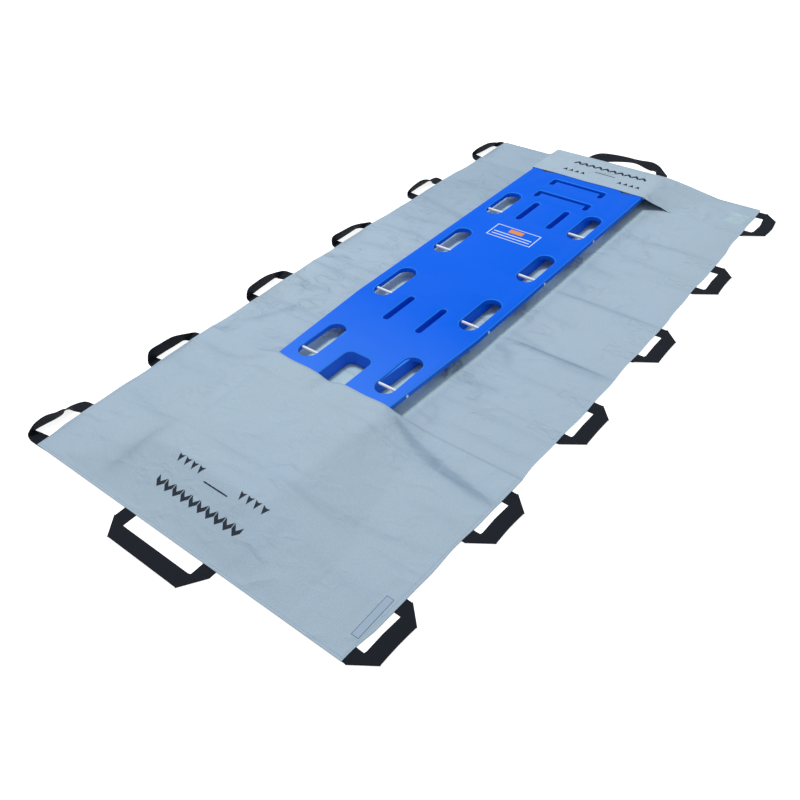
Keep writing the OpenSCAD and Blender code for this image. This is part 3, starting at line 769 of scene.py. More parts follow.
# Where the pocket is split into its cloths, and between which lines the toe's cloth stretches
FOOT_LEFT, FOOT_RIGHT = -407.0, 333.0
FOOT_SPLIT = -838.0
# How far it slopes down beside the board, its sag over the board's middle, and its pleat
SLOPE_AT_MOUTH, SLOPE_AT_TOE = 98.0, 200.0
SAG_W, SAG_DEPTH, SAG_END = 74.0, 8.0, -556.0
PLEAT_START, PLEAT_LEN = 150.0, 345.0
# How far a pocket's mouth settles on the base beside the board, and how much thinner it is there
SETTLE_DEPTH, SETTLE_THIN = 1.28, 0.64


def foot_run(y):
    """How far the pocket slopes down on each side of the board."""
    return mix(SLOPE_AT_MOUTH, SLOPE_AT_TOE,
               np.clip((FOOT_MOUTH - y) / (FOOT_MOUTH - TOE_Y), 0.0, 1.0))


def foot_mouth(x):
    """Where the mouth's edge lies: over the board it is drawn towards the foot, in small waves."""
    slope = beside(x, board_half(FOOT_MOUTH), SLOPE_AT_MOUTH, SLOPE_AT_MOUTH)
    share = drape(slope, 0.05)
    wave = 2.2 * np.sin(np.asarray(x) / 47.0) + 1.6 * np.sin(np.asarray(x) / 19.0 + 1.0)
    return FOOT_MOUTH - 22.0 * share + wave * share


def foot_top(x, y):
    """Height of the foot pocket's upper face."""
    across = drape(beside(x, board_half(y), foot_run(y), foot_run(y)), 10.0 / foot_run(y))
    toe = drape((TOE_Y - y) / (TOE_Y - HEM_Y), 0.06)
    share = lower_of(across, toe)
    height = mix(PANEL_LOW, COVER_LOW, share) + CLOTH
    dip = np.clip(np.cos(np.pi * np.clip((x - BOARD_X) / SAG_W, -0.5, 0.5)), 0.0, 1.0) ** 2
    dip = dip * ease((y - SAG_END) / 60.0)
    edge = ease((y + HALF_LEN) / 30.0)
    side = ease((half_w(y) - np.abs(x)) / 30.0)
    label = ease((np.hypot((x - LABEL_X) / 26.0, (y - LABEL_Y) / 84.0) - 1.0) / 0.4)
    uneven = (0.55 * soft_relief(x, y) + wrinkle_relief(x, y, FOOT_WRINKLES)
              + 1.3 * packing_relief(x, y))
    inside = ease((foot_mouth(x) - y) / 24.0)
    joined = 1.0 - 0.75 * sum(np.exp(-((x - line) / 8.0) ** 2) for line in (FOOT_LEFT, FOOT_RIGHT))
    raised = (uneven * (0.25 + 0.75 * inside) + 2.4 * pleat(x, y)) * edge * side * label * joined
    return height - SAG_DEPTH * dip * share + raised


def pleat(x, y):
    """1 on the flat pleat that runs from the board's corner to the right edge, 0 beside it."""
    away = np.minimum.reduce([off for off, _ in beside_line(x, y, PLEAT)])
    share = np.clip((x - PLEAT_START) / PLEAT_LEN, 0.0, 1.0)
    half = 4.0 + 8.0 * np.sin(np.pi * share) ** 0.8
    return ease((half - away) / 4.0 + 0.5) * (x > PLEAT_START)


def mouth_settled(x, y):
    """How far the mouth's edge sinks into the base beside the board, on its left."""
    raised = drape(beside(x, board_half(y), foot_run(y), foot_run(y)), 0.05)
    beside_left = (1.0 - ease(raised / 0.15)) * (x < BOARD_X) * (1.0 - ease((-x - 440.0) / 25.0))
    return beside_left * (1.0 - ease((FOOT_MOUTH - y) / 70.0))


def foot_columns(y):
    run = float(foot_run(y))
    return places_across(FOOT_LEFT, FOOT_RIGHT, float(board_half(y)), (run, run), 12.0,
                         (4, 18, 4, 46, 4, 18, 4))


def pocket_strip(name, y_rows, columns):
    """One cloth of the foot pocket from rows of places along it and across it."""
    x = np.array([columns(v) for v in y_rows])
    y = np.repeat(np.asarray(y_rows)[:, None], x.shape[1], 1)
    pull = ease((y - (FOOT_MOUTH - 90.0)) / 90.0)
    y = y + (foot_mouth(x) - FOOT_MOUTH) * pull
    settled = mouth_settled(x, y)
    z = foot_top(x, y) - SETTLE_DEPTH * settled
    # Painted shade, through the crease mask: a painted shadow line along the mouth's edge where it
    # does not settle on the base, and darker packing creases, wrinkles and pleat
    hem = 0.75 * np.exp(-np.maximum(0.0, foot_mouth(x) - y) / 2.5) * (1.0 - settled)
    crease = np.clip(packing_relief(x, y) * 0.5 + wrinkle_relief(x, y, FOOT_WRINKLES) * 0.15
                     + 0.5 * pleat(x, y) + hem, 0.0, 1.0)
    obj = shell(name, np.stack([edge_drawn(x, y), y, z], -1), np.stack([x, y], -1),
                PANEL - SETTLE_THIN * settled, crease)
    return obj


def foot_pocket():
    """The pocket is four cloths here: its middle and toe, where the board slides under it, are left
    unattached, and its two sides go with the carrier.
    """
    lines = [v for v in PACK_CREASES if v < FOOT_MOUTH]
    upper = with_lines(spaced(FOOT_SPLIT, FOOT_MOUTH, 8.0), lines)
    toe = with_lines(spaced(-HALF_LEN, FOOT_SPLIT, 7.0), (HEM_Y, TOE_Y), 5.0)
    whole = with_lines(spaced(-HALF_LEN, FOOT_MOUTH, 8.6), lines)
    middle = pocket_strip("foot_pocket_cloth", upper, foot_columns)
    end = pocket_strip("foot_pocket_toe", toe, foot_columns)
    left = pocket_strip("foot_pocket_left", whole,
                        lambda v: np.linspace(-float(half_w(v)), FOOT_LEFT, 13))
    right = pocket_strip("foot_pocket_right", whole,
                         lambda v: np.linspace(FOOT_RIGHT, float(half_w(v)), 19))
    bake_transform(middle)
    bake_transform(end)
    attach(left, "carrier")
    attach(right, "carrier")
    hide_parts("foot_pocket")


# Head pocket

def head_runs(y):
    """How far the pocket slopes down beside the board, left and right."""
    inward = np.clip((y - HEAD_MOUTH) / (HALF_LEN - HEAD_MOUTH), 0.0, 1.0)
    return mix(32.0, 50.0, inward), mix(62.0, 180.0, inward)


def head_share(x, y):
    """Share of the board's height that the head pocket keeps."""
    slope = beside(x - 2.0 * (x > BOARD_X), BOARD_HALF, *head_runs(y))
    return drape(slope, np.where(x < BOARD_X, 0.05, 0.09))


def head_top(x, y):
    """Height of the head pocket's upper face, over the board and beside it."""
    height = mix(PANEL_LOW, COVER_LOW, head_share(x, y)) + CLOTH
    inside = ease((y - HEAD_MOUTH - 25.0) / 60.0) * ease((HALF_LEN - y) / 40.0)
    return height + inside * (0.5 * soft_relief(x, y) + 0.2 + wrinkle_relief(x, y, HEAD_WRINKLES))


def head_columns(y):
    edge = float(half_w(y))
    return places_across(-edge, edge, BOARD_HALF, [float(run) for run in head_runs(y)], 10.0,
                         (20, 10, 4, 50, 4, 18, 16))


# A pale square near the right corner: its middle and half its sides
PALE_X, PALE_Y, PALE_HALF_W, PALE_HALF_LEN = 446.0, 918.0, 32.0, 38.0


def head_pocket():
    """Rows from the mouth to just short of the fold, then up to the raised seam."""
    grid, cut = [], []
    flat_end = FOLD_Y - 4.0
    for step in np.linspace(0.0, 1.0, 25):
        x = head_columns(mix(HEAD_MOUTH, flat_end, step))
        raised = head_share(x, np.full_like(x, HEAD_MOUTH))
        mouth = HEAD_MOUTH - 3.0 + 30.0 * (1.0 - raised) + 1.2 * np.sin(x / 31.0)
        y = mix(mouth, flat_end, step)
        settled = SETTLE_DEPTH * (1.0 - ease(raised / 0.15)) * (1.0 - ease(step / 0.6))
        grid.append(np.stack([edge_drawn(x, y), y, head_top(x, y) - settled], -1))
        cut.append(np.stack([x, y], -1))
    last = grid[-1]
    for step in np.linspace(0.0, 1.0, 8)[1:]:
        x = mix(last[:, 0], head_columns(HALF_LEN), step)
        y = mix(last[:, 1], seam_y(x), step)
        bulge = 2.0 * np.sin(np.pi * step) * head_share(x, y)
        z = mix(last[:, 2], seam_z(x) + LAYER_GAP + CLOTH, step) + bulge
        grid.append(np.stack([edge_drawn(x, y), y, z], -1))
        cut.append(np.stack([x, mix(flat_end, HALF_LEN, step) + 0.0 * x], -1))
    top, flat = np.array(grid), np.array(cut)
    x, y = flat[..., 0], flat[..., 1]
    raised = head_share(x, np.full(x.shape, HEAD_MOUTH))
    inward = np.linspace(0.0, 1.0, len(top))[:, None]
    thickness = mix(0.06, PANEL, np.maximum(ease(raised / 0.15), ease(inward / 0.45)))
    # Painted shade: the pocket left of the board is painted darker, through its crease mask
    painted_left_shade = 0.35 * ease((BOARD_X - BOARD_HALF - x) / 40.0) * (1.0 + 0.5 * SWELL(x, y))
    pale_patch = 0.45 * ease((PALE_HALF_W - np.abs(x - PALE_X)) / 8.0) \
        * ease((PALE_HALF_LEN - np.abs(y - PALE_Y)) / 8.0)
    obj = shell("head_pocket_cloth", top, flat, thickness, painted_left_shade, 0.4, pale_patch)
    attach(obj, "carrier")
    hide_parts("head_pocket")


# Webbing

def strap(name, rows, nodes):
    """A length of webbing from rows of its two edges; it bends where it leaves the cloth."""
    rows = np.array(rows, float)
    count, wide = len(rows), 5
    across = np.linspace(0.0, 1.0, wide)
    grid = rows[:, None, 0] * (1 - across)[None, :, None] + rows[:, None, 1] * across[None, :, None]
    steps = np.linalg.norm(np.diff(grid[:, wide // 2], axis=0), axis=1)
    run = np.concatenate([[0.0], np.cumsum(steps)])
    index = np.arange(count * wide).reshape(count, wide)
    faces = np.stack([index[:-1, :-1], index[1:, :-1], index[1:, 1:], index[:-1, 1:]], -1)
    mesh = bpy.data.meshes.new(name)
    mesh.from_pydata(to_frame(grid.reshape(-1, 3)).tolist(), [], faces.reshape(-1, 4).tolist())
    set_uv(mesh, np.stack([np.tile(across * STRAP_W, count), np.repeat(run, wide)], 1) / 1000.0)
    obj = link(name, mesh, WEBBING_LOOK)
    wall = obj.modifiers.new("wall", "SOLIDIFY")
    wall.thickness = (STRAP_T - 0.1) / 1000.0
    wall.offset = 0.0
    apply_modifiers(obj)
    smooth(obj.data, 50.0)
    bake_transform(obj)
    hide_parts(*nodes)


def along(keys, steps):
    """Rows between keyed rows, straight from one to the next."""
    out = []
    for (a, b), n in zip(zip(keys, keys[1:]), steps):
        a, b = np.array(a, float), np.array(b, float)
        out.extend(a + (b - a) * k / n for k in range(n))
    out.append(np.array(keys[-1], float))
    return out


def curved(keys, steps):
    """Rows through keyed rows on a smooth line (Catmull-Rom)."""
    keys = [np.array(k, float) for k in keys]
    padded = [2 * keys[0] - keys[1], *keys, 2 * keys[-1] - keys[-2]]
    out = []
    for k in range(1, len(padded) - 2):
        p0, p1, p2, p3 = padded[k - 1:k + 3]
        for i in range(steps):
            t = i / steps
            out.append(0.5 * (2 * p1 + (p2 - p0) * t + (2 * p0 - 5 * p1 + 4 * p2 - p3) * t * t
                              + (3 * p1 - p0 - 3 * p2 + p3) * t**3))
    out.append(keys[-1])
    return out


def fold(row, outward, rise):
    """Rows round a fold line that lies along one row: half a turn from below to above."""
    row = np.array(row, float)
    out = []
    for step in range(1, 6):
        turn = math.pi * step / 6
        shift = np.array([outward[0] * math.sin(turn), outward[1] * math.sin(turn),
                          1 - math.cos(turn)]) * abs(rise) / 2
        shift[2] *= math.copysign(1.0, rise)
        out.append(row + shift)
    return out


LOOP_PITCH = (2 * HALF_LEN - LOOP_W - 12.0) / 5.0
LOOP_DRAW = 29.0
FOOT_EDGE = (np.array([0.0, -HALF_LEN - FOLD_GAP]), np.array([0.0, -1.0]), np.array([1.0, 0.0]))
HEAD_EDGE = (np.array([HEAD_X, HALF_LEN]), np.array([0.0, 1.0]), np.array([1.0, 0.0]))


def side_frame(side, i):
    """Where side handle i sits: its place, the way out and the way along, in the plane."""
    even = (i - 3.5) * LOOP_PITCH
    y = even - LOOP_DRAW * (1.0 - (even / HALF_LEN) ** 2)
    out = np.array([side, -side_slope(y)])
    out /= np.linalg.norm(out)
    up_side = np.array([-out[1], out[0]]) * side
    place = np.array([side * (float(half_w(y)) + FOLD_GAP), y])
    return place, out, up_side


def put(rows, place, out, up_side):
    """Handle rows in (outward, along, up) to the cloth's own axes."""
    rows = np.array(rows, float)
    flat = place + rows[..., :1] * out + rows[..., 1:2] * up_side
    return np.concatenate([flat, rows[..., 2:]], -1)


LEG_Z = STRAP_T / 2
GRIP_Z = LEG_Z + 1.75


def flat_loop_rows(half, reach, near_x, far_x, near_lift=0.0, bow=0.0):
    """Rows of a loop that lies flat, its webbing folded over at two corners.

    near_x and far_x are where the folds begin at the loop's own outer corners, near_lift
    raises the near corner, and bow pushes the grip's middle outwards."""
    w = STRAP_W
    first = [(near_x, -half, LEG_Z + near_lift), (reach, -half + w, LEG_Z)]
    last = [(far_x, half, LEG_Z), (reach, half - w, LEG_Z)]
    leg = [*([(out, -half, LEG_Z), (out, w - half, LEG_Z)] for out in (SEWN_X, 0.0)), first]
    back = [last, *([(out, half, LEG_Z), (out, half - w, LEG_Z)] for out in (0.0, SEWN_X))]
    rise = GRIP_Z - LEG_Z
    grip_start = [tuple(np.array(p) + (0, 0, rise)) for p in first]
    grip_end = [tuple(np.array(p) + (0, 0, rise)) for p in last]
    inner = reach - w
    mid = [
        [(inner, -half + w + 4, GRIP_Z), (reach + bow * 0.6, -half + w + 22, GRIP_Z)],
        [(inner + bow, 0.0, GRIP_Z), (reach + bow, 0.0, GRIP_Z)],
        [(inner, half - w - 4, GRIP_Z), (reach + bow * 0.6, half - w - 22, GRIP_Z)],
    ]
    rows = along(leg, [14, 5])
    rows += fold(first, (0.55, -0.83), rise)
    rows += along([grip_start, *mid, grip_end], [6, 8, 8, 6])
    rows += fold(grip_end, (0.7, 0.7), -rise)
    rows += along(back, [5, 14])
    return rows


def standing_loop_rows(keys):
    """Rows of a loop whose grip stands up between legs that lie flat.

    A key is a place on its upper edge (out, along, height) and one on its lower edge (out,
    along), which lies on the ground."""
    keys = [[(a, b, c), (d, e, LEG_Z)] for a, b, c, d, e in keys]

    def sewn(key):
        """The end of the webbing under the cloth, straight in from one of its roots."""
        return [(SEWN_X, y, LEG_Z) for _, y, _ in key]

    return (along([sewn(keys[0]), keys[0]], [14])[:-1] + curved(keys, 6)
            + along([keys[-1], sewn(keys[-1])], [14])[1:])


# The left loops, foot to head. Some twist over at their far end, so that their edges swap.
LEFT_LOOPS = [
    [(0, -90, 0.8, 0, -54), (22, -89, 1, 24, -57), (38, -84, 5, 44, -60), (35, -76, 18, 46, -56),
     (31, -58, 31, 45, -44), (26, -32, 36, 42, -26), (18, -8, 33, 38, -3), (17, 10, 30, 39, 16),
     (20, 26, 17, 48, 28), (20, 36, 4, 45, 52), (12, 41, 1, 30, 76), (0, 44, 0.8, 0, 82)],
    [(0, -90, 0.8, 0, -54), (19, -84, 2, 21, -56), (16, -73, 34, 21, -54), (14, -34, 37, 21, -25),
     (12, 2, 36, 19, 6), (7, 28, 30, 18, 34), (9, 52, 19, 14, 40), (13, 77, 6, 7, 44),
     (0, 84, 0.8, 0, 47)],
    [(0, -88, 0.8, 0, -52), (19, -81, 2, 22, -53), (13, -74, 33, 23, -50), (16, -36, 36, 26, -24),
     (16, 0, 36, 28, 6), (16, 30, 30, 30, 36), (20, 58, 20, 28, 47), (26, 86, 6, 14, 51),
     (0, 95, 0.8, 0, 56)],
    [(0, -88, 0.8, 0, -51), (17, -80, 2, 20, -52), (12, -79, 30, 21, -46), (7, -40, 34, 21, -28),
     (4, 4, 33, 22, 8), (2, 38, 26, 22, 40), (8, 72, 12, 13, 51), (13, 97, 2, 4, 56),
     (0, 98, 0.8, 0, 60)],
    [(0, -74, 0.8, 0, -38), (20, -70, 1, 22, -38), (32, -58, 4, 32, -37), (28, -57, 16, 34, -32),
     (22, -40, 28, 35, -16), (20, -2, 33, 37, 8), (15, 24, 30, 37, 34), (9, 42, 21, 38, 60),
     (10, 53, 8, 38, 88), (8, 60, 1, 29, 105), (0, 63, 0.8, 0, 101)],
    [(0, -88, 0.8, 0, -51), (20, -78, 1, 18, -49), (35, -62, 8, 29, -46), (28, -58, 20, 30, -40),
     (15, -45, 32, 28, -26), (7, -6, 35, 26, 4), (3, 24, 29, 25, 34), (5, 54, 18, 20, 50),
     (12, 90, 6, 8, 54), (0, 98, 0.8, 0, 60)],
]
# Each right loop: its reach, where its near and far folds begin, a lift and a bow
RIGHT_LOOPS = [
    (54, 3, 12, 0.0, -1.5),
    (55, 2, 14, 0.0, -2.0),
    (55, 3, 20, 1.0, -1.0),
    (55, 4, 14, 4.0, -1.0),
    (60, 4, 24, 2.0, -2.0),
    (62, 5, 22, 3.0, 5.0),
]


def side_webbing():
    for i in range(1, 7):
        for side, word in ((-1, "left"), (1, "right")):
            place, out, up_side = side_frame(side, i)
            if side < 0:
                rows = standing_loop_rows(LEFT_LOOPS[i - 1])
            else:
                rows = flat_loop_rows(HALF_LOOP, *RIGHT_LOOPS[i - 1])
            rows = put(rows, place, out, up_side)
            name = f"{word}_handle_{i}"
            strap(f"{word}_webbing_{i}", rows, (name, f"{word}_tails_{i}"))


def foot_webbing():
    rows = put(flat_loop_rows(END_LOOP_W / 2, FOOT_REACH, 26.0, 16.0), *FOOT_EDGE)
    strap("foot_webbing", rows, ("foot_handle", "foot_tails"))


# The head loop's rolls: shares of the way round it, and the degrees there
HEAD_ROLLS = ((0.0, 0.2, 0.4, 0.55, 0.7, 0.85, 1.0), (0.0, -32.0, -8.0, 9.0, -24.0, 22.0, 0.0))


def head_roll(s):
    """How far the webbing is rolled about its own length, in degrees."""
    rolled = np.mean([np.interp(s + step, *HEAD_ROLLS) for step in (-0.04, 0.0, 0.04)])
    return float(rolled * ease(s / 0.05) * ease((1 - s) / 0.05))


def head_centre(s):
    """The middle of the webbing, from one root at 0 round to the other at 1."""
    round_way = max(0.0, math.sin(math.pi * s))
    side = math.cos(math.pi * s)
    return np.array([HEAD_X - HEAD_SPAN * side,
                     HEAD_ROOT_Y + 37.0 * round_way ** 1.2 * (1.0 - 0.35 * side),
                     HEAD_ROOT_Z + 9.6 * round_way ** 1.5 * (1.0 - 0.17 * side)])


def head_row(s):
    """The webbing's two edges at s, straight out where it leaves the cloth."""
    if s < 0.02:
        way = np.array([0.0, 1.0, 0.0])
    elif s > 0.98:
        way = np.array([0.0, -1.0, 0.0])
    else:
        way = head_centre(s + 0.01) - head_centre(s - 0.01)
        way /= np.linalg.norm(way)
    outward = np.cross((0.0, 0.0, 1.0), way)
    outward /= np.linalg.norm(outward)
    roll = math.radians(head_roll(s))
    face = math.cos(roll) * np.cross(way, outward) + math.sin(roll) * outward
    half = np.cross(way, face) * STRAP_W / 2
    return [head_centre(s) - half, head_centre(s) + half]


def head_webbing():
    """Its two ends follow the cloth that turns up past the board, then it arches out."""
    cos, sin = math.cos(HEAD_TURN), math.sin(HEAD_TURN)
    lines = [(FOLD_Y + TURN_LEN - TAIL, LEG_Z), (FOLD_Y - 6.0, LEG_Z), (FOLD_Y + 1.2, LEG_Z + 0.6)]
    lines += [(FOLD_Y + up * cos + LEG_Z * sin, BASE_LOW + up * sin - LEG_Z * cos)
              for up in (6, 42)]

    def tail(centre):
        return [[(centre + side, y, z) for side in (-STRAP_W / 2, STRAP_W / 2)] for y, z in lines]

    shares = np.concatenate([[0.0, 0.004, 0.012], np.linspace(0.025, 0.975, 58),
                             [0.988, 0.996, 1.0]])
    steps = [12, 2, 2, 5]
    start = along(tail(HEAD_X - HEAD_SPAN), steps)
    finish = along([row[::-1] for row in reversed(tail(HEAD_X + HEAD_SPAN))], steps[::-1])
    strap("head_webbing", start + [head_row(s) for s in shares] + finish,
          ("head_handle", "head_tails"))


# Spine board

def arc(cx, cy, r, a0, a1, steps):
    """Points round a centre between two angles in degrees."""
    turns = [math.radians(a0 + (a1 - a0) * k / steps) for k in range(steps + 1)]
    return [(cx + r * math.cos(turn), cy + r * math.sin(turn)) for turn in turns]


def round_slot(cx, cy, width, length, steps):
    r = width / 2
    top, low = cy + length / 2 - r, cy - length / 2 + r
    return arc(cx, top, r, 0, 180, steps) + arc(cx, low, r, 180, 360, steps)


def round_box(cx, top, width, length, r):
    x0, x1, y0, y1 = cx - width / 2 + r, cx + width / 2 - r, top - length + r, top - r
    return (arc(x1, y1, r, 0, 90, 7) + arc(x0, y1, r, 90, 180, 7)
            + arc(x0, y0, r, 180, 270, 7) + arc(x1, y0, r, 270, 360, 7))


def three_sided(cx, cy, width, cut, leg):
    """A bar across the board with a leg at each end, towards the foot."""
    r = cut / 2
    span = width / 2 - r
    drop = leg - cut
    return (arc(cx - span, cy, r, 180, 90, 6) + arc(cx + span, cy, r, 90, 0, 6)
            + arc(cx + span, cy - drop, r, 0, -180, 10)
            + [(cx + span - r, cy - r), (cx - span + r, cy - r)]
            + arc(cx - span, cy - drop, r, 0, -180, 10))


# Handholds: place along the board, distance from its middle line, and length
HOLDS = [(877.5, 145.5, 143.0), (537.0, 145.5, 160.0), (253.0, 145.5, 160.0), (-28.0, 145.5, 160.0),
         (-355.0, 127.5, 160.0)]
HOLD_W = 55.0
SLIT_PLACES, SLIT_X, SLIT_W, SLIT_LEN = (535.0, -126.0), 54.5, 19.0, 128.0
BAR_PLACES, BAR_W, BAR_CUT, BAR_LEG = (769.0, 670.0), 193.0, 16.0, 44.0
WINDOW_TOP, WINDOW_W, WINDOW_LEN, WINDOW_CORNER = -348.0, 82.0, 200.0, 20.0


def tapered_outline(half, foot_half, head, foot, corners, steps):
    """The board's outline or one inside it: straight sides that draw in towards the foot."""
    left, right = BOARD_X - half, BOARD_X + half
    foot_left, foot_right = BOARD_X - foot_half, BOARD_X + foot_half
    taper_y = BOARD_FOOT + TAPER
    big, small = corners
    return ([(right, taper_y)] + arc(right - big, head - big, big, 0, 90, steps[0])
            + arc(left + big, head - big, big, 90, 180, steps[0]) + [(left, taper_y)]
            + arc(foot_left + small, foot + small, small, 180, 270, steps[1])
            + arc(foot_right - small, foot + small, small, 270, 360, steps[1]))


def handholds():
    return [round_slot(BOARD_X + s * x, y, HOLD_W, length, 18)
            for y, x, length in HOLDS for s in (-1, 1)]


def through_cuts():
    cuts = [round_slot(BOARD_X + s * SLIT_X, y, SLIT_W, SLIT_LEN, 10)
            for y in SLIT_PLACES for s in (-1, 1)]
    cuts += [three_sided(BOARD_X, y, BAR_W, BAR_CUT, BAR_LEG) for y in BAR_PLACES]
    cuts.append(round_box(BOARD_X, WINDOW_TOP, WINDOW_W, WINDOW_LEN, WINDOW_CORNER))
    return cuts


def shrunk(loop, amount):
    """A hole's outline drawn in towards its middle by about amount."""
    points = np.array(loop)
    centre = (points.max(0) + points.min(0)) / 2
    size = (points.max(0) - points.min(0)) / 2
    return [tuple(p) for p in centre + (points - centre) * (1 - amount / size)]


def slab(name, outline, holes, low, high, rounding):
    """A plate with through holes and rounded edges, from its outlines."""
    data = bpy.data.curves.new(name, "CURVE")
    data.dimensions = "2D"
    data.fill_mode = "BOTH"
    data.extrude = ((high - low) / 2 - rounding) / 1000.0
    data.bevel_depth = rounding / 1000.0
    data.bevel_resolution = 3
    data.offset = -rounding / 1000.0
    for loop in [outline, *holes]:
        spline = data.splines.new("POLY")
        spline.points.add(len(loop) - 1)
        spots = to_frame([(x, y, 0.0) for x, y in loop])
        for point, (x, y, _) in zip(spline.points, spots):
            point.co = (x, y, 0.0, 1.0)
        spline.use_cyclic_u = True
    obj = bpy.data.objects.new(name, data)
    bpy.context.scene.collection.objects.link(obj)
    mesh = mesh_of(obj, name)
    bpy.data.objects.remove(obj)
    mesh.transform(Matrix.Translation((0, 0, (low + high) / 2000.0)))
    work = bmesh.new()
    work.from_mesh(mesh)
    bmesh.ops.remove_doubles(work, verts=work.verts, dist=1e-6)
    bmesh.ops.recalc_face_normals(work, faces=work.faces)
    work.to_mesh(mesh)
    work.free()
    return mesh


def spine_board():
    """A rim with the handholds and a thicker belly under it, made one solid."""
    outline = tapered_outline(BOARD_HALF, BOARD_FOOT_HALF, BOARD_HEAD, BOARD_FOOT,
                              (45.0, 26.0), (12, 8))
    rim = slab("board_body", outline, handholds() + through_cuts(),
               BOARD_TOP - RIM_T, BOARD_TOP, 5.0)
    inner = tapered_outline(BOARD_HALF - RIM_W, BOARD_FOOT_HALF - RIM_W,
                            BOARD_HEAD - RIM_W / 2, BOARD_FOOT + RIM_W / 2, (24.0, 24.0), (6, 6))
    belly = slab("board_belly", inner, [shrunk(c, 0.25) for c in through_cuts()],
                 BOARD_LOW, BELLY_TOP, 3.5)
    body, lower = link("board_body", rim, BOARD_LOOK), link("board_belly", belly, BOARD_LOOK)
    join = body.modifiers.new("join", "BOOLEAN")
    join.operation = "UNION"
    join.solver = "EXACT"
    join.object = lower
    apply_modifiers(body)
    bpy.data.objects.remove(lower)
    smooth(body.data, 40.0)
    # The painted rim highlight's mask: vertices of the upper part whose normals lean as on a
    # rounded edge
    lean = np.array([v.normal[:] for v in body.data.vertices])
    high = np.array([v.co.z for v in body.data.vertices]) > BELLY_TOP / 1000.0
    set_mask(body.data, "painted_rim_highlight", np.exp(-((lean[:, 2] - 0.68) / 0.16) ** 2) * high)
    body.data.materials.clear()
    body.data.materials.append(BOARD_LOOK)
    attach(body, "board")
    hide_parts("board_shell")


# Printed marks and label

def rectangle(x0, x1, y0, y1):
    return [(x0, y0), (x1, y0), (x1, y1), (x0, y1)]


def flat_shapes(name, loops):
    """Closed thin plates from outlines, in millimetres, upper faces at z 1 and lower at -1."""
    work = bmesh.new()
    for loop in loops:
        up, down = ([work.verts.new((x, y, z)) for x, y in loop] for z in (1.0, -1.0))
        work.faces.new(up)
        work.faces.new(down[::-1])
        for wall in zip(up, down, down[1:] + down[:1], up[1:] + up[:1]):
            work.faces.new(wall)
    bmesh.ops.recalc_face_normals(work, faces=work.faces)
    mesh = bpy.data.meshes.new(name)
    work.to_mesh(mesh)
    work.free()
    return mesh


def laid(name, loops, height_at, look, thickness=0.2, above=0.08):
    """Flat shapes laid on a cloth or the board: their lower faces just above it, the upper
    ones over those, and their long edges cut up so that they can follow it."""
    mesh = flat_shapes(name, loops)
    work = bmesh.new()
    work.from_mesh(mesh)
    bmesh.ops.triangulate(work, faces=work.faces)
    for _ in range(3):
        long = [e for e in work.edges if e.calc_length() > 7.0]
        if not long:
            break
        bmesh.ops.subdivide_edges(work, edges=long, cuts=1)
        bmesh.ops.triangulate(work, faces=[f for f in work.faces if len(f.verts) > 3])
    for vert in work.verts:
        x, y = vert.co.x, vert.co.y
        over = above + (thickness if vert.co.z > 0 else 0.0)
        vert.co = Vector(to_frame((x, y, float(height_at(np.array(x), np.array(y))) + over)))
    work.to_mesh(mesh)
    work.free()
    return link(name, mesh, look)


CHEVRONS = 10
WEDGES = 4


def wedges(x, y, height, width, towards):
    """A row of solid wedges that point to the nearer end."""
    loops = []
    half = width * 0.115
    tip, back = y + towards * height / 2, y - towards * height / 2
    for k in range(WEDGES):
        cx = x + width * (k - (WEDGES - 1) / 2) / 3.4
        loops.append([(cx - half, back), (cx, back + towards * height * 0.18),
                      (cx + half, back), (cx, tip)])
    return loops


def chevrons(x0, x1, y, height, towards):
    """A row of bold chevrons that point to the nearer end."""
    pitch = (x1 - x0) / CHEVRONS
    half, bar = pitch * 0.46, towards * height * 0.5
    tip, back = y + towards * height / 2, y - towards * height / 2
    loops = []
    for k in range(CHEVRONS):
        cx = x0 + pitch * (k + 0.5)
        loops.append([(cx - half, back), (cx, tip - bar), (cx + half, back),
                      (cx + half, back + bar), (cx, tip), (cx - half, back + bar)])
    return loops


def printed_marks():
    """Plain marks on the two pockets, which show only which end is which."""
    foot_rows = (chevrons(-137, 130, -930, 26, -1)
                 + wedges(-92, -866, 20, 76, -1) + wedges(105, -866, 20, 76, -1)
                 + [rectangle(-31, 43, -884, -881)])
    foot = laid("foot_marks", foot_rows, foot_top, INK_LOOK)
    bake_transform(foot)
    head_rows = (chevrons(-139, 128, 922, 24, 1)
                 + wedges(-107, 861, 18, 73, 1) + wedges(94, 861, 18, 73, 1)
                 + [rectangle(-43, 31, 884.5, 887.5)])
    head = laid("head_marks", head_rows, head_top, INK_LOOK)
    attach(head, "carrier")


def frame_strips(x0, x1, y0, y1, wide):
    """Four thin strips round a rectangle."""
    return [rectangle(x0, x1, y0, y0 + wide), rectangle(x0, x1, y1 - wide, y1),
            rectangle(x0, x0 + wide, y0 + wide, y1 - wide),
            rectangle(x1 - wide, x1, y0 + wide, y1 - wide)]


def label_patch():
    sides = (LABEL_X - LABEL_HALF_W, LABEL_X + LABEL_HALF_W,
             LABEL_Y - LABEL_HALF_LEN, LABEL_Y + LABEL_HALF_LEN)
    body = laid("label_patch", [rectangle(*sides)], foot_top, LABEL_LOOK, 0.3, 0.0)
    rim = laid("label_stitch_line", frame_strips(*sides, 1.0), foot_top, OUTLINE_LOOK, 0.15, 0.3)
    for obj in (body, rim):
        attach(obj, "carrier")
    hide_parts("care_label")


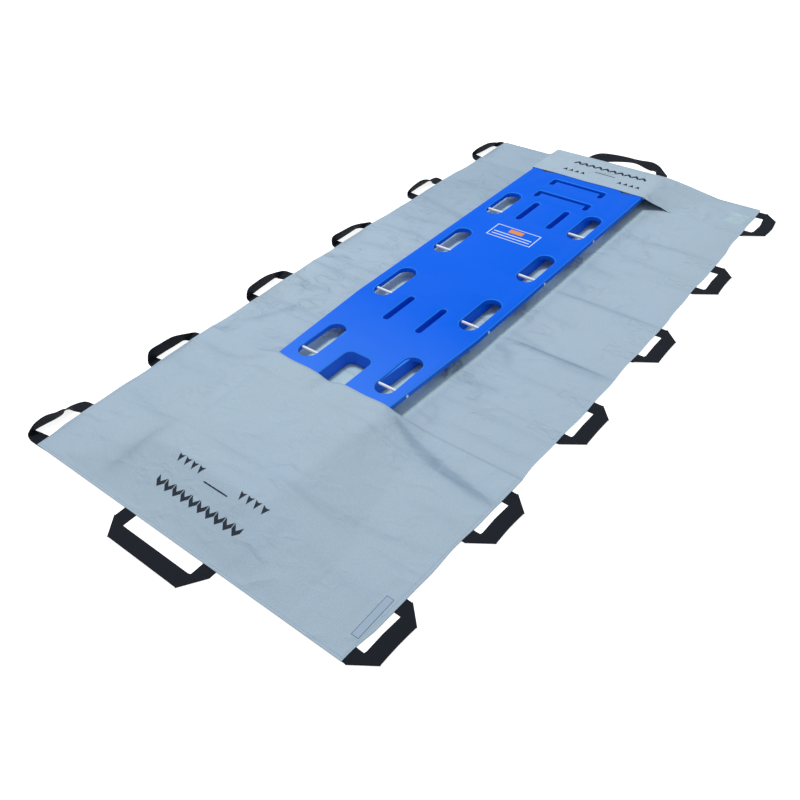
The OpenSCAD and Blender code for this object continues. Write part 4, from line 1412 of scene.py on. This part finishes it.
def board_panel():
    """A blank write-on panel on the board: a white frame, ruled lines and an orange strip."""
    white = frame_strips(-121.0, 33.0, 340.0, 412.0, 3.0)
    white += [rectangle(-110.0, 22.0, y, y + 4.0) for y in (354.0, 368.0)]
    orange = [rectangle(-68.0, -20.0, 382.0, 402.0)]
    for name, loops, look in (("board_panel_lines", white, PANEL_WHITE),
                              ("board_panel_strip", orange, PANEL_ORANGE)):
        obj = laid(name, loops, lambda x, y: BOARD_TOP, look, 0.2, 0.02)
        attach(obj, "board")


# Stitches

def stitch_tree():
    """Stitches of one length set along every edge of a mesh."""
    tree = bpy.data.node_groups.new("stitch_run", "GeometryNodeTree")
    for label, kind, value in (("Geometry", "Geometry", None), ("Pitch", "Float", 0.005),
                               ("Length", "Float", 0.0034), ("Thickness", "Float", 0.0007)):
        socket = tree.interface.new_socket(label, in_out="INPUT", socket_type="NodeSocket" + kind)
        if value is not None:
            socket.default_value = value
    material = tree.interface.new_socket("Material", in_out="INPUT",
                                         socket_type="NodeSocketMaterial")
    tree.interface.new_socket("Geometry", in_out="OUTPUT", socket_type="NodeSocketGeometry")
    make = Nodes(tree)
    given = make.add("NodeGroupInput").outputs
    curve = make.add("GeometryNodeMeshToCurve", {"Mesh": given["Geometry"]})
    points = make.add("GeometryNodeCurveToPoints",
                      {"Curve": curve.outputs[0], "Length": given["Pitch"]}, mode="LENGTH")
    bead = make.add("GeometryNodeMeshUVSphere", {"Segments": 6, "Rings": 4, "Radius": 0.5})
    size = make.add("ShaderNodeCombineXYZ",
                    {0: given["Thickness"], 1: given["Thickness"], 2: given["Length"]})
    spread = make.add("GeometryNodeInstanceOnPoints", {
        "Points": points.outputs["Points"], "Instance": bead.outputs["Mesh"],
        "Rotation": points.outputs["Rotation"], "Scale": size.outputs[0]})
    real = make.add("GeometryNodeRealizeInstances", {0: spread.outputs[0]})
    paint = make.add("GeometryNodeSetMaterial",
                     {"Geometry": real.outputs[0], "Material": given["Material"]})
    make.feed(make.add("NodeGroupOutput").inputs["Geometry"], paint.outputs[0])
    return tree, material.identifier


STITCHES, THREAD_SOCKET = stitch_tree()


def stitched(name, node, runs):
    """A mesh of stitches along runs of points, in millimetres."""
    spots, edges = [], []
    for run in runs:
        base = len(spots)
        spots.extend(run)
        edges.extend((base + k, base + k + 1) for k in range(len(run) - 1))
    mesh = bpy.data.meshes.new(name)
    mesh.from_pydata(to_frame(spots).tolist(), edges, [])
    obj = link(name, mesh)
    nodes = obj.modifiers.new("stitches", "NODES")
    nodes.node_group = STITCHES
    nodes[THREAD_SOCKET] = THREAD_LOOK
    apply_modifiers(obj)
    smooth(obj.data, 60.0)
    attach(obj, "carrier")
    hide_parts(node)


STITCH_LIFT = 0.12
STITCH_STEP = 12.0
BOX_LEN = 70.0
BOX_HALF = 15.0
SEAM_INSET = 9.0
HEM_STITCH_Y = -1009.4
HEAD_SEAM_LIFT = LAYER_GAP + CLOTH


def laid_run(places, height_at):
    """A run of stitches that lies on a cloth."""
    return [(x, y, float(height_at(np.array(x), np.array(y))) + STITCH_LIFT) for x, y in places]


def base_height(x, y):
    return BASE_TOP + base_relief(x, y)


def line_points(p, q):
    n = max(1, int(math.dist(p, q) / STITCH_STEP))
    return [(mix(p[0], q[0], k / n), mix(p[1], q[1], k / n)) for k in range(n + 1)]


def handle_boxes():
    """The stitched box and cross over each sewn end of a handle."""
    runs = []
    # Each handle's frame, half its width, and how far in from its edge the boxes begin
    spots = [(side_frame(side, i), HALF_LOOP, 13.2) for i in range(1, 7) for side in (-1, 1)]
    spots.append((FOOT_EDGE, END_LOOP_W / 2, 12.0))
    spots.append((HEAD_EDGE, END_LOOP_W / 2, TURN_LEN + 4.0))
    for (place, out, up_side), half, start in spots:
        for sign in (-1, 1):
            mid = sign * (half - STRAP_W / 2)
            corners = rectangle(-start - BOX_LEN, -start, mid - BOX_HALF, mid + BOX_HALF)
            for p, q in ((0, 1), (1, 2), (2, 3), (3, 0), (0, 2), (3, 1)):
                flat = [tuple(place + a * out + b * up_side)
                        for a, b in line_points(corners[p], corners[q])]
                runs.append(laid_run(flat, base_height))
    return runs


def pocket_seams():
    """The seams down the pockets' sides, along the foot edge and along the raised head edge."""
    runs = []
    for side in (-1, 1):
        for first, last, height_at in ((-1010.0, FOOT_MOUTH - 2.0, foot_top),
                                       (900.0, FOLD_Y - 8.0, head_top)):
            runs.append(laid_run([(side * (float(half_w(y)) - SEAM_INSET), y)
                                  for y in spaced(first, last, STITCH_STEP)], height_at))
    reach = float(half_w(HEM_STITCH_Y)) - 7.0
    hem = [(x, HEM_STITCH_Y) for x in spaced(-reach, reach, STITCH_STEP)]
    runs.append(laid_run(hem, foot_top))
    runs.append([(x, float(seam_y(x)) - 5.0 * math.cos(float(turn_angle(x))),
                  float(seam_z(x)) + HEAD_SEAM_LIFT + 0.55 + 0.3 * float(seam_lift(x)) / SEAM_RISE)
                 for x in spaced(-470.0, 470.0, 8.0)])
    return runs


# Floor and light

FLOOR_REACH, FLOOR_Z = 14.0, -0.0004
WHITE = (1.0, 1.0, 1.0, 1.0)
# Each light panel: its place, what it faces, its two sides and its power
LIGHTS = {
    "key_panel": ((-1.0, 0.5, 4.3), (0, 0, 0), (1.0, 1.0), 114.0),
    "sheen_panel": ((-2.5, 2.2, 2.6), (-0.1, -0.3, 0), (1.6, 1.0), 9.0),
}


def studio_floor():
    """A floor that is white to the camera and in reflections, and grey to all other rays."""
    material = bpy.data.materials.new("studio_white")
    material.use_nodes = True
    make = Nodes(material.node_tree)
    make.tree.nodes.clear()
    path = make.add("ShaderNodeLightPath")
    seen = make.math("MAXIMUM", path.outputs["Is Camera Ray"], path.outputs["Is Glossy Ray"])
    matt = make.add("ShaderNodeBsdfDiffuse", {"Color": (0.62, 0.62, 0.62, 1.0)})
    glow = make.add("ShaderNodeEmission", {"Color": WHITE, "Strength": 0.82})
    both = make.add("ShaderNodeAddShader", {0: matt.outputs[0], 1: glow.outputs[0]})
    plain = make.add("ShaderNodeBsdfDiffuse", {"Color": (0.8, 0.8, 0.8, 1.0)})
    mixed = make.add("ShaderNodeMixShader", {0: seen, 1: plain.outputs[0], 2: both.outputs[0]})
    make.add("ShaderNodeOutputMaterial", {"Surface": mixed.outputs[0]})
    mesh = bpy.data.meshes.new("studio_floor")
    corners = rectangle(-FLOOR_REACH, FLOOR_REACH, -FLOOR_REACH, FLOOR_REACH)
    mesh.from_pydata([(x, y, FLOOR_Z) for x, y in corners], [], [(0, 1, 2, 3)])
    link("studio_floor", mesh, material)


def studio_world():
    """White behind the object, and a dimmer, cooler light on it from all round."""
    world = bpy.data.worlds.new("studio")
    bpy.context.scene.world = world
    world.use_nodes = True
    make = Nodes(world.node_tree)
    make.tree.nodes.clear()
    path = make.add("ShaderNodeLightPath")
    dim = make.add("ShaderNodeBackground", {"Color": (0.92, 0.975, 1.0, 1.0), "Strength": 0.50})
    white = make.add("ShaderNodeBackground", {"Color": WHITE, "Strength": 1.0})
    mixed = make.add("ShaderNodeMixShader", {
        0: path.outputs["Is Camera Ray"], 1: dim.outputs[0], 2: white.outputs[0]})
    make.add("ShaderNodeOutputWorld", {"Surface": mixed.outputs[0]})


def panel_light(name, place, target, size, energy):
    data = bpy.data.lights.new(name, "AREA")
    data.shape = "RECTANGLE"
    data.size, data.size_y = size
    data.energy = energy
    lamp = bpy.data.objects.new(name, data)
    aim = (Vector(target) - Vector(place)).to_track_quat("-Z", "Y")
    lamp.matrix_world = Matrix.Translation(place) @ aim.to_matrix().to_4x4()
    bpy.context.scene.collection.objects.link(lamp)


# The whole

base_cloth()
foot_pocket()
head_pocket()
side_webbing()
foot_webbing()
head_webbing()
spine_board()
printed_marks()
label_patch()
board_panel()

stitched("handle_stitches", "handle_stitching", handle_boxes())
stitched("pocket_stitches", "pocket_stitching", pocket_seams())

for node, look in (("strap_pins", PIN_LOOK), ("board_foam_core", FOAM_LOOK)):
    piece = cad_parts[node]
    piece.data.materials.clear()
    piece.data.materials.append(look)

studio_floor()
studio_world()
for panel, values in LIGHTS.items():
    panel_light(panel, *values)
